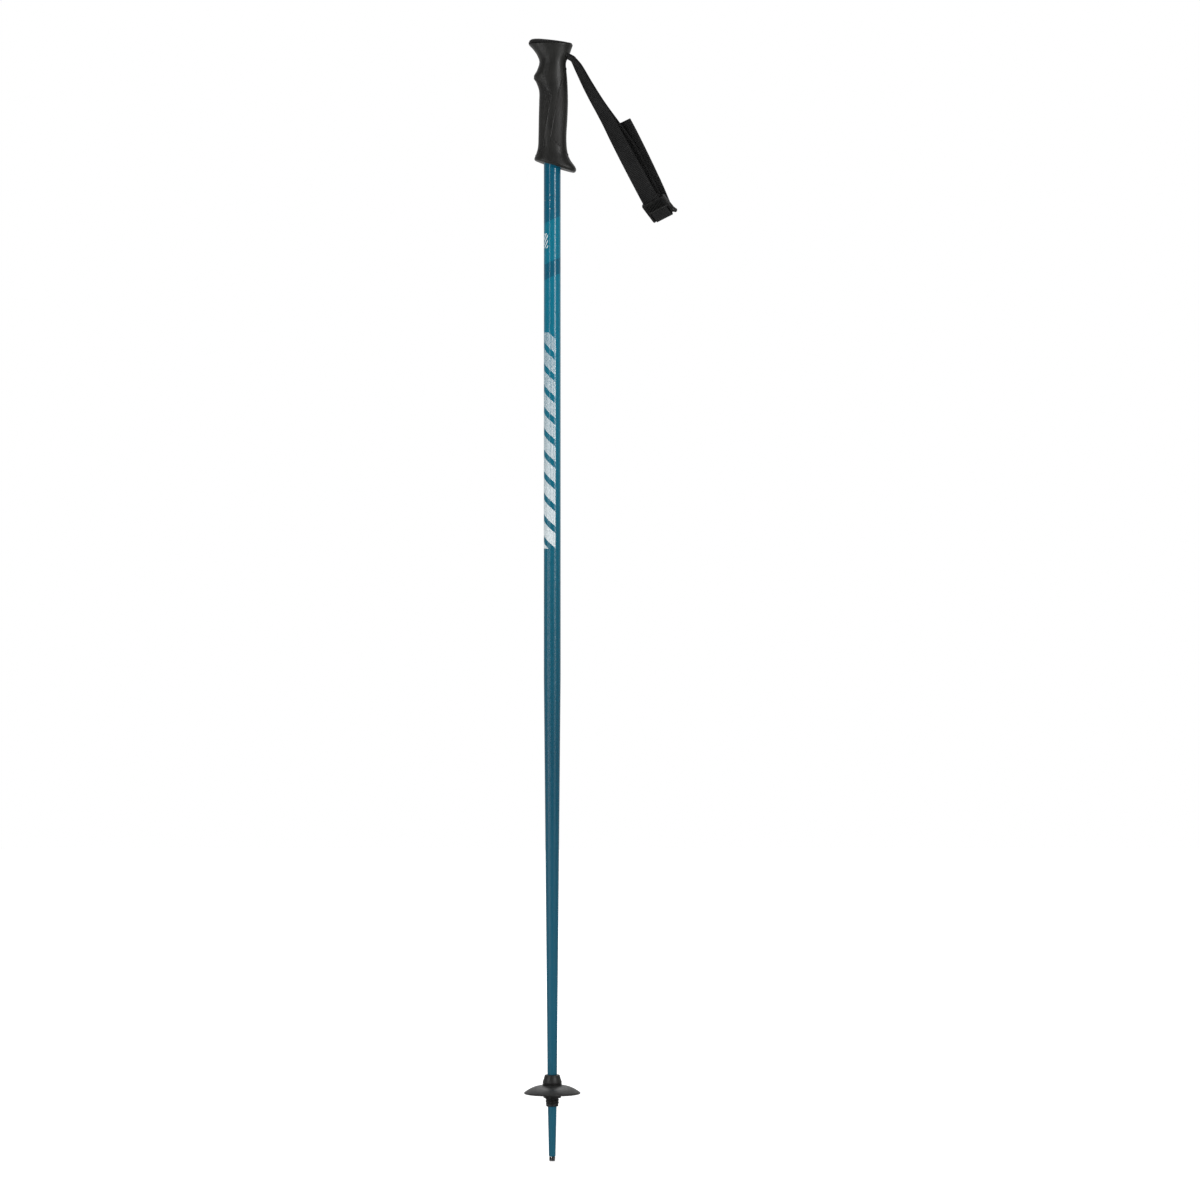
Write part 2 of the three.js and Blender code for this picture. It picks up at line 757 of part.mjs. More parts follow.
// The webbing that passes behind the pad and folds over the buckle's lower bar.
function strapFold() {
  const fold = foldedWebbing(FOLD_INNER, FOLD_REACH);
  const [towardsStrap, outOfFront] = [new THREE.Vector3(0, 1, 0), new THREE.Vector3(0, 0, 1)];
  const across = new THREE.Vector3().crossVectors(outOfFront, towardsStrap);
  fold.applyMatrix4(new THREE.Matrix4().makeBasis(towardsStrap, across, outOfFront));
  fold.translate(BUCKLE.foldShift, LOWER_BAR.y, LOWER_BAR.z);
  return fold;
}

// The sewn eye at the rear leg's end, round the buckle's upper bar.
function strapEye() {
  const eye = new THREE.CylinderGeometry(FOLD_OUTER, FOLD_OUTER, WEBBING.width, 18);
  const hole = new THREE.CylinderGeometry(FOLD_INNER, FOLD_INNER, WEBBING.width + 2, 18);
  const ring = geometryOf(solid(eye).subtract(solid(hole)));
  ring.rotateZ(Math.PI / 2);
  ring.translate(0, UPPER_BAR.y, UPPER_BAR.z);
  return ring;
}

// Turns a piece drawn on the flat buckle into the buckle's place at the end of the strap, where it
// hangs with its lower end leaning back.
function placeOnStrap(geometry) {
  const { tangent, across, back } = strapFrame(AT_BUCKLE, BUCKLE.twist);
  const lean = rad(BUCKLE.lean);
  const up = tangent.clone().multiplyScalar(-Math.cos(lean)).addScaledVector(back, -Math.sin(lean));
  const front = tangent.clone().multiplyScalar(Math.sin(lean)).addScaledVector(back, -Math.cos(lean));
  across.applyAxisAngle(front, -rad(BUCKLE.roll));
  up.applyAxisAngle(front, -rad(BUCKLE.roll));
  const centre = strapCurve.getPointAt(AT_BUCKLE);
  centre.addScaledVector(across, BUCKLE.shift);
  centre.addScaledVector(up, BUCKLE.rise - BUCKLE.length / 2).addScaledVector(front, -FRONT_WEB);
  const place = new THREE.Matrix4().makeBasis(across, up, front).setPosition(centre);
  return geometry.clone().applyMatrix4(place);
}

// ---- Assembly ----
const TEAL = 0x0e6a86;
const BLACK = 0x2b2b2b;

const pole = new THREE.Group();
pole.position.z = -HAND_HEIGHT;

const lowerGroup = new THREE.Group();
lowerGroup.add(
  makeMesh("shaft", shaftTube(), TEAL, 0.35, 0.5),
  makeMesh("steel_tip", steelTip(), 0xb9bcbe, 0.25, 1),
  makeMesh("basket_sleeve", basketSleeve(), BLACK, 0.5),
  makeMesh("basket_washer", basketWasher(), BLACK, 0.45),
  makeMesh("basket", basketDisc(), BLACK, 0.45),
);

const gripGroup = new THREE.Group();
gripGroup.add(
  makeMesh("grip_core", gripCore(), BLACK, 0.5),
  makeMesh("grip_front_pad", gripPad(FRONT_PAD), 0x323230, 0.75),
  makeMesh("grip_rear_pad", gripPad(REAR_PAD), 0x323230, 0.75),
  makeMesh("grip_cap", gripCap(), BLACK, 0.5),
  makeMesh("strap_pin", strapPin(), 0xa9acae, 0.35, 1),
  makeMesh("strap_turn", strapTurn(), 0x1c1c1c, 0.9),
);

const strapGroup = new THREE.Group();
strapGroup.add(
  makeMesh("strap_front_leg", strapFrontLeg(), 0x1c1c1c, 0.9),
  makeMesh("strap_rear_leg", strapRearLeg(), 0x1c1c1c, 0.9),
  makeMesh("strap_tail", strapTail(), 0x1c1c1c, 0.9),
  makeMesh("strap_eye", placeOnStrap(strapEye()), 0x1c1c1c, 0.9),
  makeMesh("buckle", placeOnStrap(geometryOf(buckleFrame())), 0x222222, 0.55),
  makeMesh("strap_fold", placeOnStrap(strapFold()), 0x1c1c1c, 0.9),
);

pole.add(lowerGroup, gripGroup, strapGroup);
const part = new THREE.Group();
part.add(pole);
export default part;
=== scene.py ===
"""An alpine ski pole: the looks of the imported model, in metres and in the model's own frame.

The grip's nose points to -X, the strap leaves the grip's back towards +X, and +Z is up.
"""

import math

import bmesh
import bpy
import numpy as np
from mathutils import Matrix, Vector


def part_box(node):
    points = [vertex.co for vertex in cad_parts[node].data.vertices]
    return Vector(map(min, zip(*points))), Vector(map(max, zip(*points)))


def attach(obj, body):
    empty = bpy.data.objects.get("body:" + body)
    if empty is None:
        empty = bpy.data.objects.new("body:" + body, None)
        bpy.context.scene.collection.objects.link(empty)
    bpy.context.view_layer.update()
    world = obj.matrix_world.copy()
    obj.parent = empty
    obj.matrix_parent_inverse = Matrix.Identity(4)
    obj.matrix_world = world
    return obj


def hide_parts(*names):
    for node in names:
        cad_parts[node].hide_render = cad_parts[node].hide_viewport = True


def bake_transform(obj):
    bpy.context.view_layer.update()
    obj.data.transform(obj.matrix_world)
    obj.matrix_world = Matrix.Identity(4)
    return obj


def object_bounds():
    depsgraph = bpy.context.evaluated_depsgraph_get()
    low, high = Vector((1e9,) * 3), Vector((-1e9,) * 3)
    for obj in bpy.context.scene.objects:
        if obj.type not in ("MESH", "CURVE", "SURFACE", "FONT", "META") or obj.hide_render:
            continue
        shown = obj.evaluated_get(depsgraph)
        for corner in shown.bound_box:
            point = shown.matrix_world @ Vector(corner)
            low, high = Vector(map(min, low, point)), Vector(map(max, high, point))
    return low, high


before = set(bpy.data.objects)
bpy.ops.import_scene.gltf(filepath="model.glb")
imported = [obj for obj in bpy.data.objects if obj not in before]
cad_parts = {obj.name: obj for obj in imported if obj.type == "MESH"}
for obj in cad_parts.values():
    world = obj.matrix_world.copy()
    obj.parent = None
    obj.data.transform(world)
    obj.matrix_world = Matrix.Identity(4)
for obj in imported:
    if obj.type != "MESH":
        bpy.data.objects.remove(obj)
cad_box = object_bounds()

TIP_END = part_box("steel_tip")[0].z
GAP = 0.0003  # clearance between pieces that touch

# The grip's stations: height, front edge, back edge and half depth across the hand.
GRIP_STATIONS = [
    (-0.0710, -0.0206, 0.0256, 0.0174),
    (-0.0630, -0.0206, 0.0253, 0.0174),
    (-0.0545, -0.0200, 0.0197, 0.0166),
    (-0.0480, -0.0171, 0.0168, 0.0152),
    (-0.0400, -0.0151, 0.0154, 0.0142),
    (-0.0280, -0.0146, 0.0151, 0.0137),
    (-0.0100, -0.0143, 0.0161, 0.0137),
    (0.0070, -0.0139, 0.0167, 0.0137),
    (0.0195, -0.0139, 0.0165, 0.0137),
    (0.0275, -0.0164, 0.0162, 0.0138),
    (0.0348, -0.0197, 0.0157, 0.0139),
    (0.0415, -0.0164, 0.0151, 0.0140),
    (0.0505, -0.0138, 0.0149, 0.0142),
    (0.0580, -0.0162, 0.0183, 0.0150),
    (0.0642, -0.0205, 0.0204, 0.0162),
    (0.0682, -0.0242, 0.0219, 0.0172),
    (0.0697, -0.0253, 0.0222, 0.0175),
]
GRIP_SQUARENESS = 2.35  # exponent of the grip's rounded section
SHAFT_RADIUS = 0.0090  # of the tube's upper part
LOWER_RIM_FRONT = (-0.0200, -0.0548)  # x and height of the sloping lower rim
LOWER_RIM_BACK = (0.0253, -0.0674)
LIP_HEIGHT = 0.0040  # the rounded lip under the lower rim's widest line
LIP_DEPTH = 0.0024
HEAD_RIM = 0.0700  # underside of the cap
HEAD_ROUNDING = 0.0010  # how much rounder the head's edge is at its back corner

# The pads' edges in the side view, as x and height.
FRONT_PAD_EDGE = [
    (-0.0196, 0.0345),
    (0.0002, 0.0147),
    (-0.0046, -0.0120),
    (-0.0079, -0.0350),
    (-0.0092, -0.0430),
    (-0.0126, -0.0480),
    (-0.0190, -0.0513),
]
REAR_PAD_EDGE = [
    (0.0147, 0.0460),
    (0.0092, 0.0300),
    (0.0054, 0.0147),
    (0.0014, -0.0060),
    (-0.0033, -0.0311),
    (0.0170, -0.0497),
]
PAD_INSIDE = 0.00099  # how far the pads' inner skin lies under the grip's
PAD_RIB_PITCH = 0.00108
PAD_RIB_HEIGHT = 0.0002

# The strap's front leg: x, height, twist in degrees, and how far the rear leg lies behind it.
STRAP_LINE = [
    (0.0183, 0.0549, 0, 0.0038),
    (0.0199, 0.0539, 1, 0.0038),
    (0.0225, 0.0506, 4, 0.0033),
    (0.0268, 0.0446, 10, 0.0025),
    (0.0373, 0.0252, 18, 0.0022),
    (0.0478, 0.0069, 27, 0.0023),
    (0.0614, -0.0162, 41, 0.0044),
    (0.0812, -0.0532, 51, 0.0108),
    (0.1000, -0.0879, 58, 0.0076),
    (0.1069, -0.1002, 62, 0.0044),
    (0.1154, -0.1155, 63, 0.0044),
]
BUCKLE_STATION = 9
# The strap's free end: share of the line, distance behind it, and sideways shift.
TAIL_LINE = [
    (0.445, 0.0126, 0.0088),
    (0.65, 0.0134, 0.0070),
    (0.84, 0.0120, 0.0058),
    (0.96, 0.0109, 0.0039),
]
WEB_WIDTH = 0.0200
WEB_THICKNESS = 0.0015
WEB_RIB_PITCH = 0.0017
LEGS_TOGETHER = 0.0017  # distance between the middles of the two legs where they touch
EXIT_TWIST = 4  # degrees that the two legs have turned where they leave the slot
WEB_RIB_DEPTH = 0.5  # share of the half thickness between the ribs
SEAM_AT = 0.0086  # where the row of stitches runs, from the webbing's middle
PIN = Vector((-0.0004, 0, 0.0590))  # the middle of the pin that the strap turns round
PIN_RADIUS = 0.0009
SLOT_FALL = 0.12  # how the slot falls towards the back, in radians

# The buckle: how it is turned against the strap, in degrees, and moved across and along it.
BUCKLE_TWIST = 63
BUCKLE_LEAN = 28
BUCKLE_ROLL = 4
BUCKLE_SHIFT = 0.0021
BUCKLE_RISE = 0.0026
# Its sizes, in its own x (across), y (up) and z (out of its front).
BUCKLE_WIDTH = 0.0274
BUCKLE_LENGTH = 0.0246
BUCKLE_FRONT = 0.0012
BUCKLE_BACK = -0.0058
RAIL_WIDTH = 0.0022
FOOT_FLARE = 0.0022  # how far the right rail's lower end stands out
PAD_LENGTH = 0.0135
BUCKLE_PAD_DEPTH = 0.0016
BAR_HALF = 0.0009
FOLD_MIDDLE = BAR_HALF + GAP + WEB_THICKNESS / 2  # radius of the webbing's middle round a bar
FRONT_WEB = BUCKLE_FRONT - BUCKLE_PAD_DEPTH - GAP - WEB_THICKNESS / 2
# The bars' middles, as y and z in the buckle.
LOWER_BAR = (-0.0110, FRONT_WEB - FOLD_MIDDLE)
UPPER_BAR = (0.0092, FRONT_WEB - WEB_THICKNESS - GAP - FOLD_MIDDLE)
FOLD_SHIFT = -0.0012  # the fold's middle, in the buckle's x

# ---- Meshes ----


def mesh_object(name, points, faces, materials, sharp_angle=40):
    """A mesh from points and faces, shaded smooth except over edges sharper than an angle."""
    mesh = bpy.data.meshes.new(name)
    mesh.from_pydata([tuple(p) for p in np.asarray(points, float)], [], [tuple(f) for f in faces])
    for material in materials:
        mesh.materials.append(material)
    work = bmesh.new()
    work.from_mesh(mesh)
    bmesh.ops.recalc_face_normals(work, faces=work.faces)
    work.to_mesh(mesh)
    work.free()
    mesh.shade_smooth()
    mesh.set_sharp_from_angle(angle=math.radians(sharp_angle))
    piece = bpy.data.objects.new(name, mesh)
    bpy.context.scene.collection.objects.link(piece)
    return piece


def points_at(x, y, z):
    """Points from arrays or single values of x, y and z."""
    return np.stack(np.broadcast_arrays(x, y, z), -1)


def circle(angle, radius, z):
    return points_at(radius * np.cos(angle), radius * np.sin(angle), z)


def round_angles(count):
    return np.linspace(0, 2 * math.pi, count, endpoint=False)


def tube_faces(rows, columns):
    """Faces between rings of points that each close on themselves."""
    row, column = np.mgrid[0 : rows - 1, 0:columns]
    following = (column + 1) % columns
    corners = (row * columns + column, row * columns + following)
    above = (corners[1] + columns, corners[0] + columns)
    return np.stack([*corners, *above], -1).reshape(-1, 4).tolist()


def tube(rings):
    """Points and faces of a closed skin through rings, with a fan over each end."""
    rings = np.asarray(rings, float)
    rows, columns = rings.shape[:2]
    points = list(rings.reshape(-1, 3))
    faces = tube_faces(rows, columns)
    for start in (0, (rows - 1) * columns):
        centre = len(points)
        points.append(np.mean(points[start : start + columns], axis=0))
        faces += [(centre, start + j, start + (j + 1) % columns) for j in range(columns)]
    return points, faces


def turned(profile, segments=96):
    """Points and faces of a turned solid from a closed profile of radius and height."""
    angle = round_angles(segments)
    points = np.concatenate([circle(angle, radius, z) for radius, z in profile])
    faces = tube_faces(len(profile), segments)
    last = (len(profile) - 1) * segments
    for j in range(segments):
        k = (j + 1) % segments
        faces.append((last + j, last + k, k, j))
    return points, faces


def plate(front, back):
    """Points and faces of a closed plate between two grids of points of one size."""
    rows, columns = front.shape[:2]
    count = rows * columns
    index = np.arange(count).reshape(rows, columns)
    corners = [index[:-1, :-1], index[:-1, 1:], index[1:, 1:], index[1:, :-1]]
    quads = np.stack(corners, -1).reshape(-1, 4)
    rim = [*index[0, :-1], *index[:-1, -1], *index[-1, :0:-1], *index[:0:-1, 0]]
    sides = [(a, b, b + count, a + count) for a, b in zip(rim, rim[1:] + rim[:1])]
    faces = quads.tolist() + (quads[:, ::-1] + count).tolist() + sides
    return np.concatenate([front.reshape(-1, 3), back.reshape(-1, 3)]), faces


def rounded(corners, radius, steps=5):
    """A closed outline with every corner rounded by a radius."""
    outline = []
    corners = [np.asarray(c, float) for c in corners]
    for i, corner in enumerate(corners):
        before = corners[i - 1] - corner
        after = corners[(i + 1) % len(corners)] - corner
        reach = min(radius, 0.45 * np.linalg.norm(before), 0.45 * np.linalg.norm(after))
        start = corner + before / np.linalg.norm(before) * reach
        end = corner + after / np.linalg.norm(after) * reach
        for t in np.linspace(0, 1, steps):
            outline.append((1 - t) ** 2 * start + 2 * t * (1 - t) * corner + t**2 * end)
    return outline


def join(*parts):
    """Several (points, faces) as one."""
    points, faces = [], []
    for some_points, some_faces in parts:
        first = len(points)
        points += [tuple(p) for p in some_points]
        faces += [tuple(i + first for i in face) for face in some_faces]
    return points, faces


def hermite(keys, values, at):
    """A smooth value between stations, with slopes taken from each station's neighbours."""
    keys, values, at = (np.asarray(v, float) for v in (keys, values, at))
    places = np.arange(len(keys))
    low, high = np.maximum(places - 1, 0), np.minimum(places + 1, len(keys) - 1)
    slopes = (values[high] - values[low]) / (keys[high] - keys[low])
    i = np.clip(np.searchsorted(keys, at) - 1, 0, len(keys) - 2)
    span = keys[i + 1] - keys[i]
    t = np.clip((at - keys[i]) / span, 0, 1)
    ends = (2 * t**3 - 3 * t**2 + 1) * values[i] + (3 * t**2 - 2 * t**3) * values[i + 1]
    return ends + span * ((t**3 - 2 * t**2 + t) * slopes[i] + (t**3 - t**2) * slopes[i + 1])


def smooth_step(low, high, value):
    t = np.clip((np.asarray(value, float) - low) / (high - low), 0, 1)
    return t * t * (3 - 2 * t)


def running_lengths(points):
    """The length along a line of points, up to each of them."""
    return np.concatenate([[0], np.cumsum(np.linalg.norm(np.diff(points, axis=0), axis=1))])


def points_along(at, places, points):
    """Points between those of a line, from their places along it."""
    return np.stack([np.interp(at, places, points[:, i]) for i in range(3)], -1)


# ---- Materials ----


def linear(red, green, blue):
    """A colour given in screen values from 0 to 255, as the renderer's linear colour."""
    channels = [c / 255 for c in (red, green, blue)]
    return (*[c / 12.92 if c <= 0.04045 else ((c + 0.055) / 1.055) ** 2.4 for c in channels], 1)


def ranged(tree, value, source, target):
    """A shader value carried from one range to another and kept inside it."""
    node = tree.nodes.new("ShaderNodeMapRange")
    tree.links.new(value, node.inputs["Value"])
    for name, limit in zip(("From Min", "From Max", "To Min", "To Max"), (*source, *target)):
        node.inputs[name].default_value = limit
    return node.outputs[0]


class Finish:
    """A material whose nodes are added one call at a time."""

    def __init__(self, name, **values):
        self.material = bpy.data.materials.new(name)
        self.material.use_nodes = True
        self.tree = self.material.node_tree
        self.surface = self.tree.nodes["Principled BSDF"]
        self.where = self.tree.nodes.new("ShaderNodeTexCoord").outputs["Object"]
        for key, value in values.items():
            self.surface.inputs[key.replace("_", " ")].default_value = value

    def put(self, socket, value):
        if isinstance(value, bpy.types.NodeSocket):
            self.tree.links.new(value, socket)
        else:
            socket.default_value = value

    def set(self, name, value):
        self.put(self.surface.inputs[name], value)

    def math(self, operation, first, second=0.0, third=0.0):
        node = self.tree.nodes.new("ShaderNodeMath")
        node.operation = operation
        for socket, value in zip(node.inputs, (first, second, third)):
            self.put(socket, value)
        return node.outputs[0]

    def mix(self, share, first, second):
        node = self.tree.nodes.new("ShaderNodeMix")
        node.data_type = "RGBA"
        self.put(node.inputs["Factor"], share)
        self.put(node.inputs["A"], first)
        self.put(node.inputs["B"], second)
        return node.outputs["Result"]

    def noise(self, scale, detail, stretch=(1, 1, 1)):
        mapping = self.tree.nodes.new("ShaderNodeMapping")
        mapping.inputs["Scale"].default_value = stretch
        self.put(mapping.inputs["Vector"], self.where)
        node = self.tree.nodes.new("ShaderNodeTexNoise")
        node.inputs["Scale"].default_value = scale
        node.inputs["Detail"].default_value = detail
        self.put(node.inputs["Vector"], mapping.outputs[0])
        return node.outputs["Fac"]

    def between(self, value, low, high):
        """A noise of 0 to 1 stretched to a range."""
        return ranged(self.tree, value, (0.3, 0.7), (low, high))

    def split(self, vector):
        node = self.tree.nodes.new("ShaderNodeSeparateXYZ")
        self.put(node.inputs[0], vector)
        return node.outputs

    def bump(self, height, distance):
        node = self.tree.nodes.new("ShaderNodeBump")
        node.inputs["Distance"].default_value = distance
        self.put(node.inputs["Height"], height)
        self.set("Normal", node.outputs[0])


def moulded_plastic(name, dark, light, roughness, grain=0.00002):
    """Moulded plastic: cloudy in colour and gloss, with a fine grain and a few long scuffs."""
    finish = Finish(name, Specular_IOR_Level=0.4)
    clouds = finish.noise(55, 4)
    scuffs = finish.noise(420, 2, stretch=(1, 1, 0.08))
    wear_and_painted_groove_shade = finish.math("MULTIPLY", finish.between(scuffs, 0, 1), finish.between(clouds, 0, 1))
    finish.set("Base Color", finish.mix(finish.between(clouds, 0, 1), dark, light))
    finish.set("Roughness", finish.math("ADD", finish.math("MULTIPLY", wear_and_painted_groove_shade, 0.16), roughness))
    finish.bump(finish.noise(2600, 2), grain)
    return finish.material


def webbing_finish():
    """Woven polyester: yarns across the ribs, with a dull sheen, and painted shade darkening the grooves
    between the ribs.
    """
    finish = Finish("woven_webbing", Sheen_Weight=0.02, Sheen_Roughness=0.5, Specular_IOR_Level=0.06)
    node = finish.tree.nodes.new("ShaderNodeUVMap")
    node.uv_map = "web"
    across, travel, _ = finish.split(node.outputs[0])
    rib = finish.math("SINE", finish.math("MULTIPLY", travel, math.pi / WEB_RIB_PITCH))
    yarn = finish.math("SINE", finish.math("MULTIPLY", across, 2 * math.pi / 0.00062))
    crest = finish.math("POWER", finish.math("ABSOLUTE", rib), 0.8)
    weave = finish.math("MULTIPLY", yarn, finish.math("ADD", finish.math("MULTIPLY", crest, 0.5), 0.4))
    fuzz = finish.noise(1900, 3)
    clouds = finish.noise(70, 3)
    shade = finish.math("MULTIPLY_ADD", weave, 0.2, finish.between(fuzz, 0.35, 0.9))
    # The crest factor darkens the colour in the grooves between the ribs: painted shade.
    wear_and_painted_groove_shade = product(finish, shade, finish.between(clouds, 0.75, 1.15), crest)
    finish.set("Base Color", finish.mix(wear_and_painted_groove_shade, linear(4, 4, 5), linear(46, 46, 46)))
    finish.set("Roughness", finish.between(fuzz, 0.72, 0.92))
    height = finish.math("ADD", finish.math("MULTIPLY", weave, 0.6), fuzz)
    finish.bump(height, 0.00007)
    return finish.material


def thread_finish():
    finish = Finish("sewing_thread")
    twist = finish.noise(3500, 2, stretch=(1, 1, 3))
    finish.set("Base Color", finish.mix(twist, linear(20, 20, 20), linear(44, 42, 40)))
    finish.set("Roughness", finish.between(twist, 0.55, 0.8))
    finish.bump(twist, 0.00004)
    return finish.material


def steel_finish(name, roughness):
    """Ground steel, with marks round its axis and dull patches."""
    finish = Finish(name, Metallic=1.0)
    marks = finish.noise(900, 4, stretch=(0.2, 0.2, 6))
    patches = finish.noise(350, 3)
    tone = finish.math("MULTIPLY", finish.between(marks, 0.5, 1), finish.between(patches, 0.7, 1))
    finish.set("Base Color", finish.mix(tone, linear(96, 98, 102), linear(214, 216, 218)))
    finish.set("Roughness", finish.between(patches, roughness, roughness + 0.18))
    finish.bump(marks, 0.00002)
    return finish.material


def band(finish, value, low, high):
    """1 where a value lies between two limits."""
    above = finish.math("GREATER_THAN", value, low)
    return finish.math("MULTIPLY", above, finish.math("LESS_THAN", value, high))


def product(finish, *masks):
    made = masks[0]
    for mask in masks[1:]:
        made = finish.math("MULTIPLY", made, mask)
    return made


# The printed dots: distance round the shaft from the line that faces -Y, and height.
DOTS = [
    (-0.0025, -0.0925),
    (-0.0025, -0.0980),
    (-0.0096, -0.0980),
    (-0.0025, -0.1070),
    (-0.0096, -0.1070),
]
DOT_RADIUS = 0.00040
# The paint's colour at heights from the tip to the grip.
PAINT_FADE = [
    (-1.11, linear(14, 77, 97)),
    (-0.95, linear(8, 73, 94)),
    (-0.70, linear(2, 61, 80)),
    (-0.52, linear(0, 72, 91)),
    (-0.40, linear(0, 84, 104)),
    (-0.20, linear(0, 94, 116)),
    (-0.12, linear(0, 95, 116)),
]


def level_lines(finish, z, around):
    """Thin dark lines round the shaft at the dots' heights."""
    half_width = 0.00018
    made = 0.0
    for height in sorted({height for _, height in DOTS}):
        line = band(finish, z, height - half_width, height + half_width)
        made = finish.math("ADD", made, line)
    return finish.math("MULTIPLY", made, band(finish, around, -0.0125, 0.0042))


def shaft_graphics(finish, z, around):
    """Where the shaft is printed white: a run of slanted blocks of pinstripes, marks and dots.

    around is the distance round the shaft from the line that faces -Y.
    """
    block_pitch, stripe_pitch, slash_pitch = 0.0231, 0.00145, 0.0056
    block_slant, slash_slant = 0.9, -1.6
    low, high = -0.470, -0.239  # heights of the printed run
    place = finish.math("MULTIPLY_ADD", around, block_slant, finish.math("SUBTRACT", z, low))
    turn = finish.math("FRACT", finish.math("DIVIDE", place, block_pitch))
    block = band(finish, turn, 0.16, 0.84)
    rise = finish.math("DIVIDE", finish.math("SUBTRACT", z, low), high - low)
    line = finish.math("FRACT", finish.math("DIVIDE", around, stripe_pitch))
    width = finish.math("MULTIPLY_ADD", rise, -0.5, 0.88)
    stripes = finish.math("LESS_THAN", line, width)
    side = band(finish, around, -0.0125, 0.0035)
    run = product(finish, block, stripes, side, band(finish, z, low, high))
    slash_place = finish.math("MULTIPLY_ADD", around, slash_slant, z)
    slash_turn = finish.math("FRACT", finish.math("DIVIDE", slash_place, slash_pitch))
    slashes = product(
        finish,
        finish.math("LESS_THAN", slash_turn, 0.42),
        band(finish, z, -0.149, -0.133),
        band(finish, around, -0.0118, -0.0048),
    )
    made = finish.math("MAXIMUM", run, slashes)
    for across, height in DOTS:
        level = finish.math("SUBTRACT", z, height)
        aside = finish.math("SUBTRACT", around, across)
        squares = finish.math("ADD", finish.math("POWER", level, 2), finish.math("POWER", aside, 2))
        dot = finish.math("LESS_THAN", squares, DOT_RADIUS**2)
        made = finish.math("MAXIMUM", made, dot)
    return made


def paint_finish():
    """Satin teal paint that darkens down the shaft, with two slanted bands and printed marks."""
    finish = Finish("teal_paint", Specular_IOR_Level=0.1)
    x, y, z = finish.split(finish.where)
    finish.set("Coat Weight", finish.math("MULTIPLY_ADD", z, 0.35, 0.6))
    finish.set("Coat Roughness", finish.math("MULTIPLY_ADD", z, -0.25, 0.14))
    angle = finish.math("ARCTAN2", x, finish.math("MULTIPLY", y, -1))
    around = finish.math("MULTIPLY", angle, SHAFT_RADIUS)
    fade = finish.tree.nodes.new("ShaderNodeValToRGB")
    low, high = PAINT_FADE[0][0], PAINT_FADE[-1][0]
    finish.put(fade.inputs[0], finish.math("DIVIDE", finish.math("SUBTRACT", z, low), high - low))
    ramp = fade.color_ramp
    while len(ramp.elements) < len(PAINT_FADE):
        ramp.elements.new(0.5)
    for element, (level, shade) in zip(ramp.elements, PAINT_FADE):
        element.position = (level - low) / (high - low)
        element.color = shade
    band_slope = -0.46
    slanted = finish.math("MULTIPLY_ADD", x, band_slope, z)
    top_band = finish.math("GREATER_THAN", slanted, -0.1185)
    low_band = band(finish, slanted, -0.1794, -0.1626)
    bands = finish.math("MAXIMUM", top_band, low_band)
    flakes = finish.noise(5200, 1)
    colour = finish.mix(bands, fade.outputs[0], linear(0, 73, 96))
    colour = finish.mix(finish.between(flakes, 0, 0.05), colour, linear(20, 150, 180))
    lines = finish.math("MULTIPLY", level_lines(finish, z, around), 0.6)
    colour = finish.mix(lines, colour, linear(0, 26, 40))
    marks = shaft_graphics(finish, z, around)
    print_share = finish.math("MULTIPLY", marks, 0.8)
    finish.set("Base Color", finish.mix(print_share, colour, linear(214, 219, 220)))
    scuffs = finish.noise(260, 3, stretch=(1, 1, 0.05))
    finish.set("Roughness", finish.between(scuffs, 0.4, 0.52))
    finish.bump(finish.math("ADD", finish.noise(700, 2), print_share), 0.00001)
    return finish.material


def floor_finish():
    """A white table that glows faintly, so that its far side meets the white surround."""
    finish = Finish("pale_floor", Roughness=0.9)
    clouds = finish.mix(finish.noise(3, 2), linear(250, 250, 250), linear(255, 255, 255))
    finish.set("Base Color", clouds)
    finish.set("Emission Color", clouds)
    reach = finish.tree.nodes.new("ShaderNodeVectorMath")
    reach.operation = "LENGTH"
    finish.put(reach.inputs[0], finish.where)
    glow = ranged(finish.tree, reach.outputs["Value"], (1.3, 2.0), (0.5, 1.0))
    finish.set("Emission Strength", glow)
    return finish.material


cap_plastic = moulded_plastic("cap_plastic", linear(6, 6, 6), linear(15, 15, 14), 0.6)
core_plastic = moulded_plastic("grip_plastic", linear(15, 15, 14), linear(28, 28, 26), 0.42)
pad_rubber = moulded_plastic("pad_rubber", linear(12, 12, 11), linear(24, 23, 21), 0.46, 0.00003)
basket_plastic = moulded_plastic("basket_plastic", linear(20, 20, 20), linear(32, 32, 31), 0.4)
sleeve_plastic = moulded_plastic("sleeve_plastic", linear(13, 13, 13), linear(24, 24, 23), 0.42)
buckle_plastic = moulded_plastic("buckle_plastic", linear(6, 6, 6), linear(14, 14, 13), 0.42)
webbing = webbing_finish()
thread = thread_finish()
steel = steel_finish("tip_steel", 0.16)
pin_steel = steel_finish("pin_steel", 0.3)
paint = paint_finish()

# ---- Camera ----

middle = (cad_box[0] + cad_box[1]) / 2
height = cad_box[1].z - cad_box[0].z
camera_data = bpy.data.cameras.new("camera")
camera_data.lens = 135
camera_data.sensor_width = 36
camera = bpy.data.objects.new("camera", camera_data)
distance = height * 0.535 / (camera_data.sensor_width / 2 / camera_data.lens)
camera.location = (middle.x, middle.y - distance, middle.z)
camera.rotation_euler = (math.pi / 2, 0, 0)
bpy.context.scene.collection.objects.link(camera)
bpy.context.scene.camera = camera

# ---- Shaft, tip and basket ----


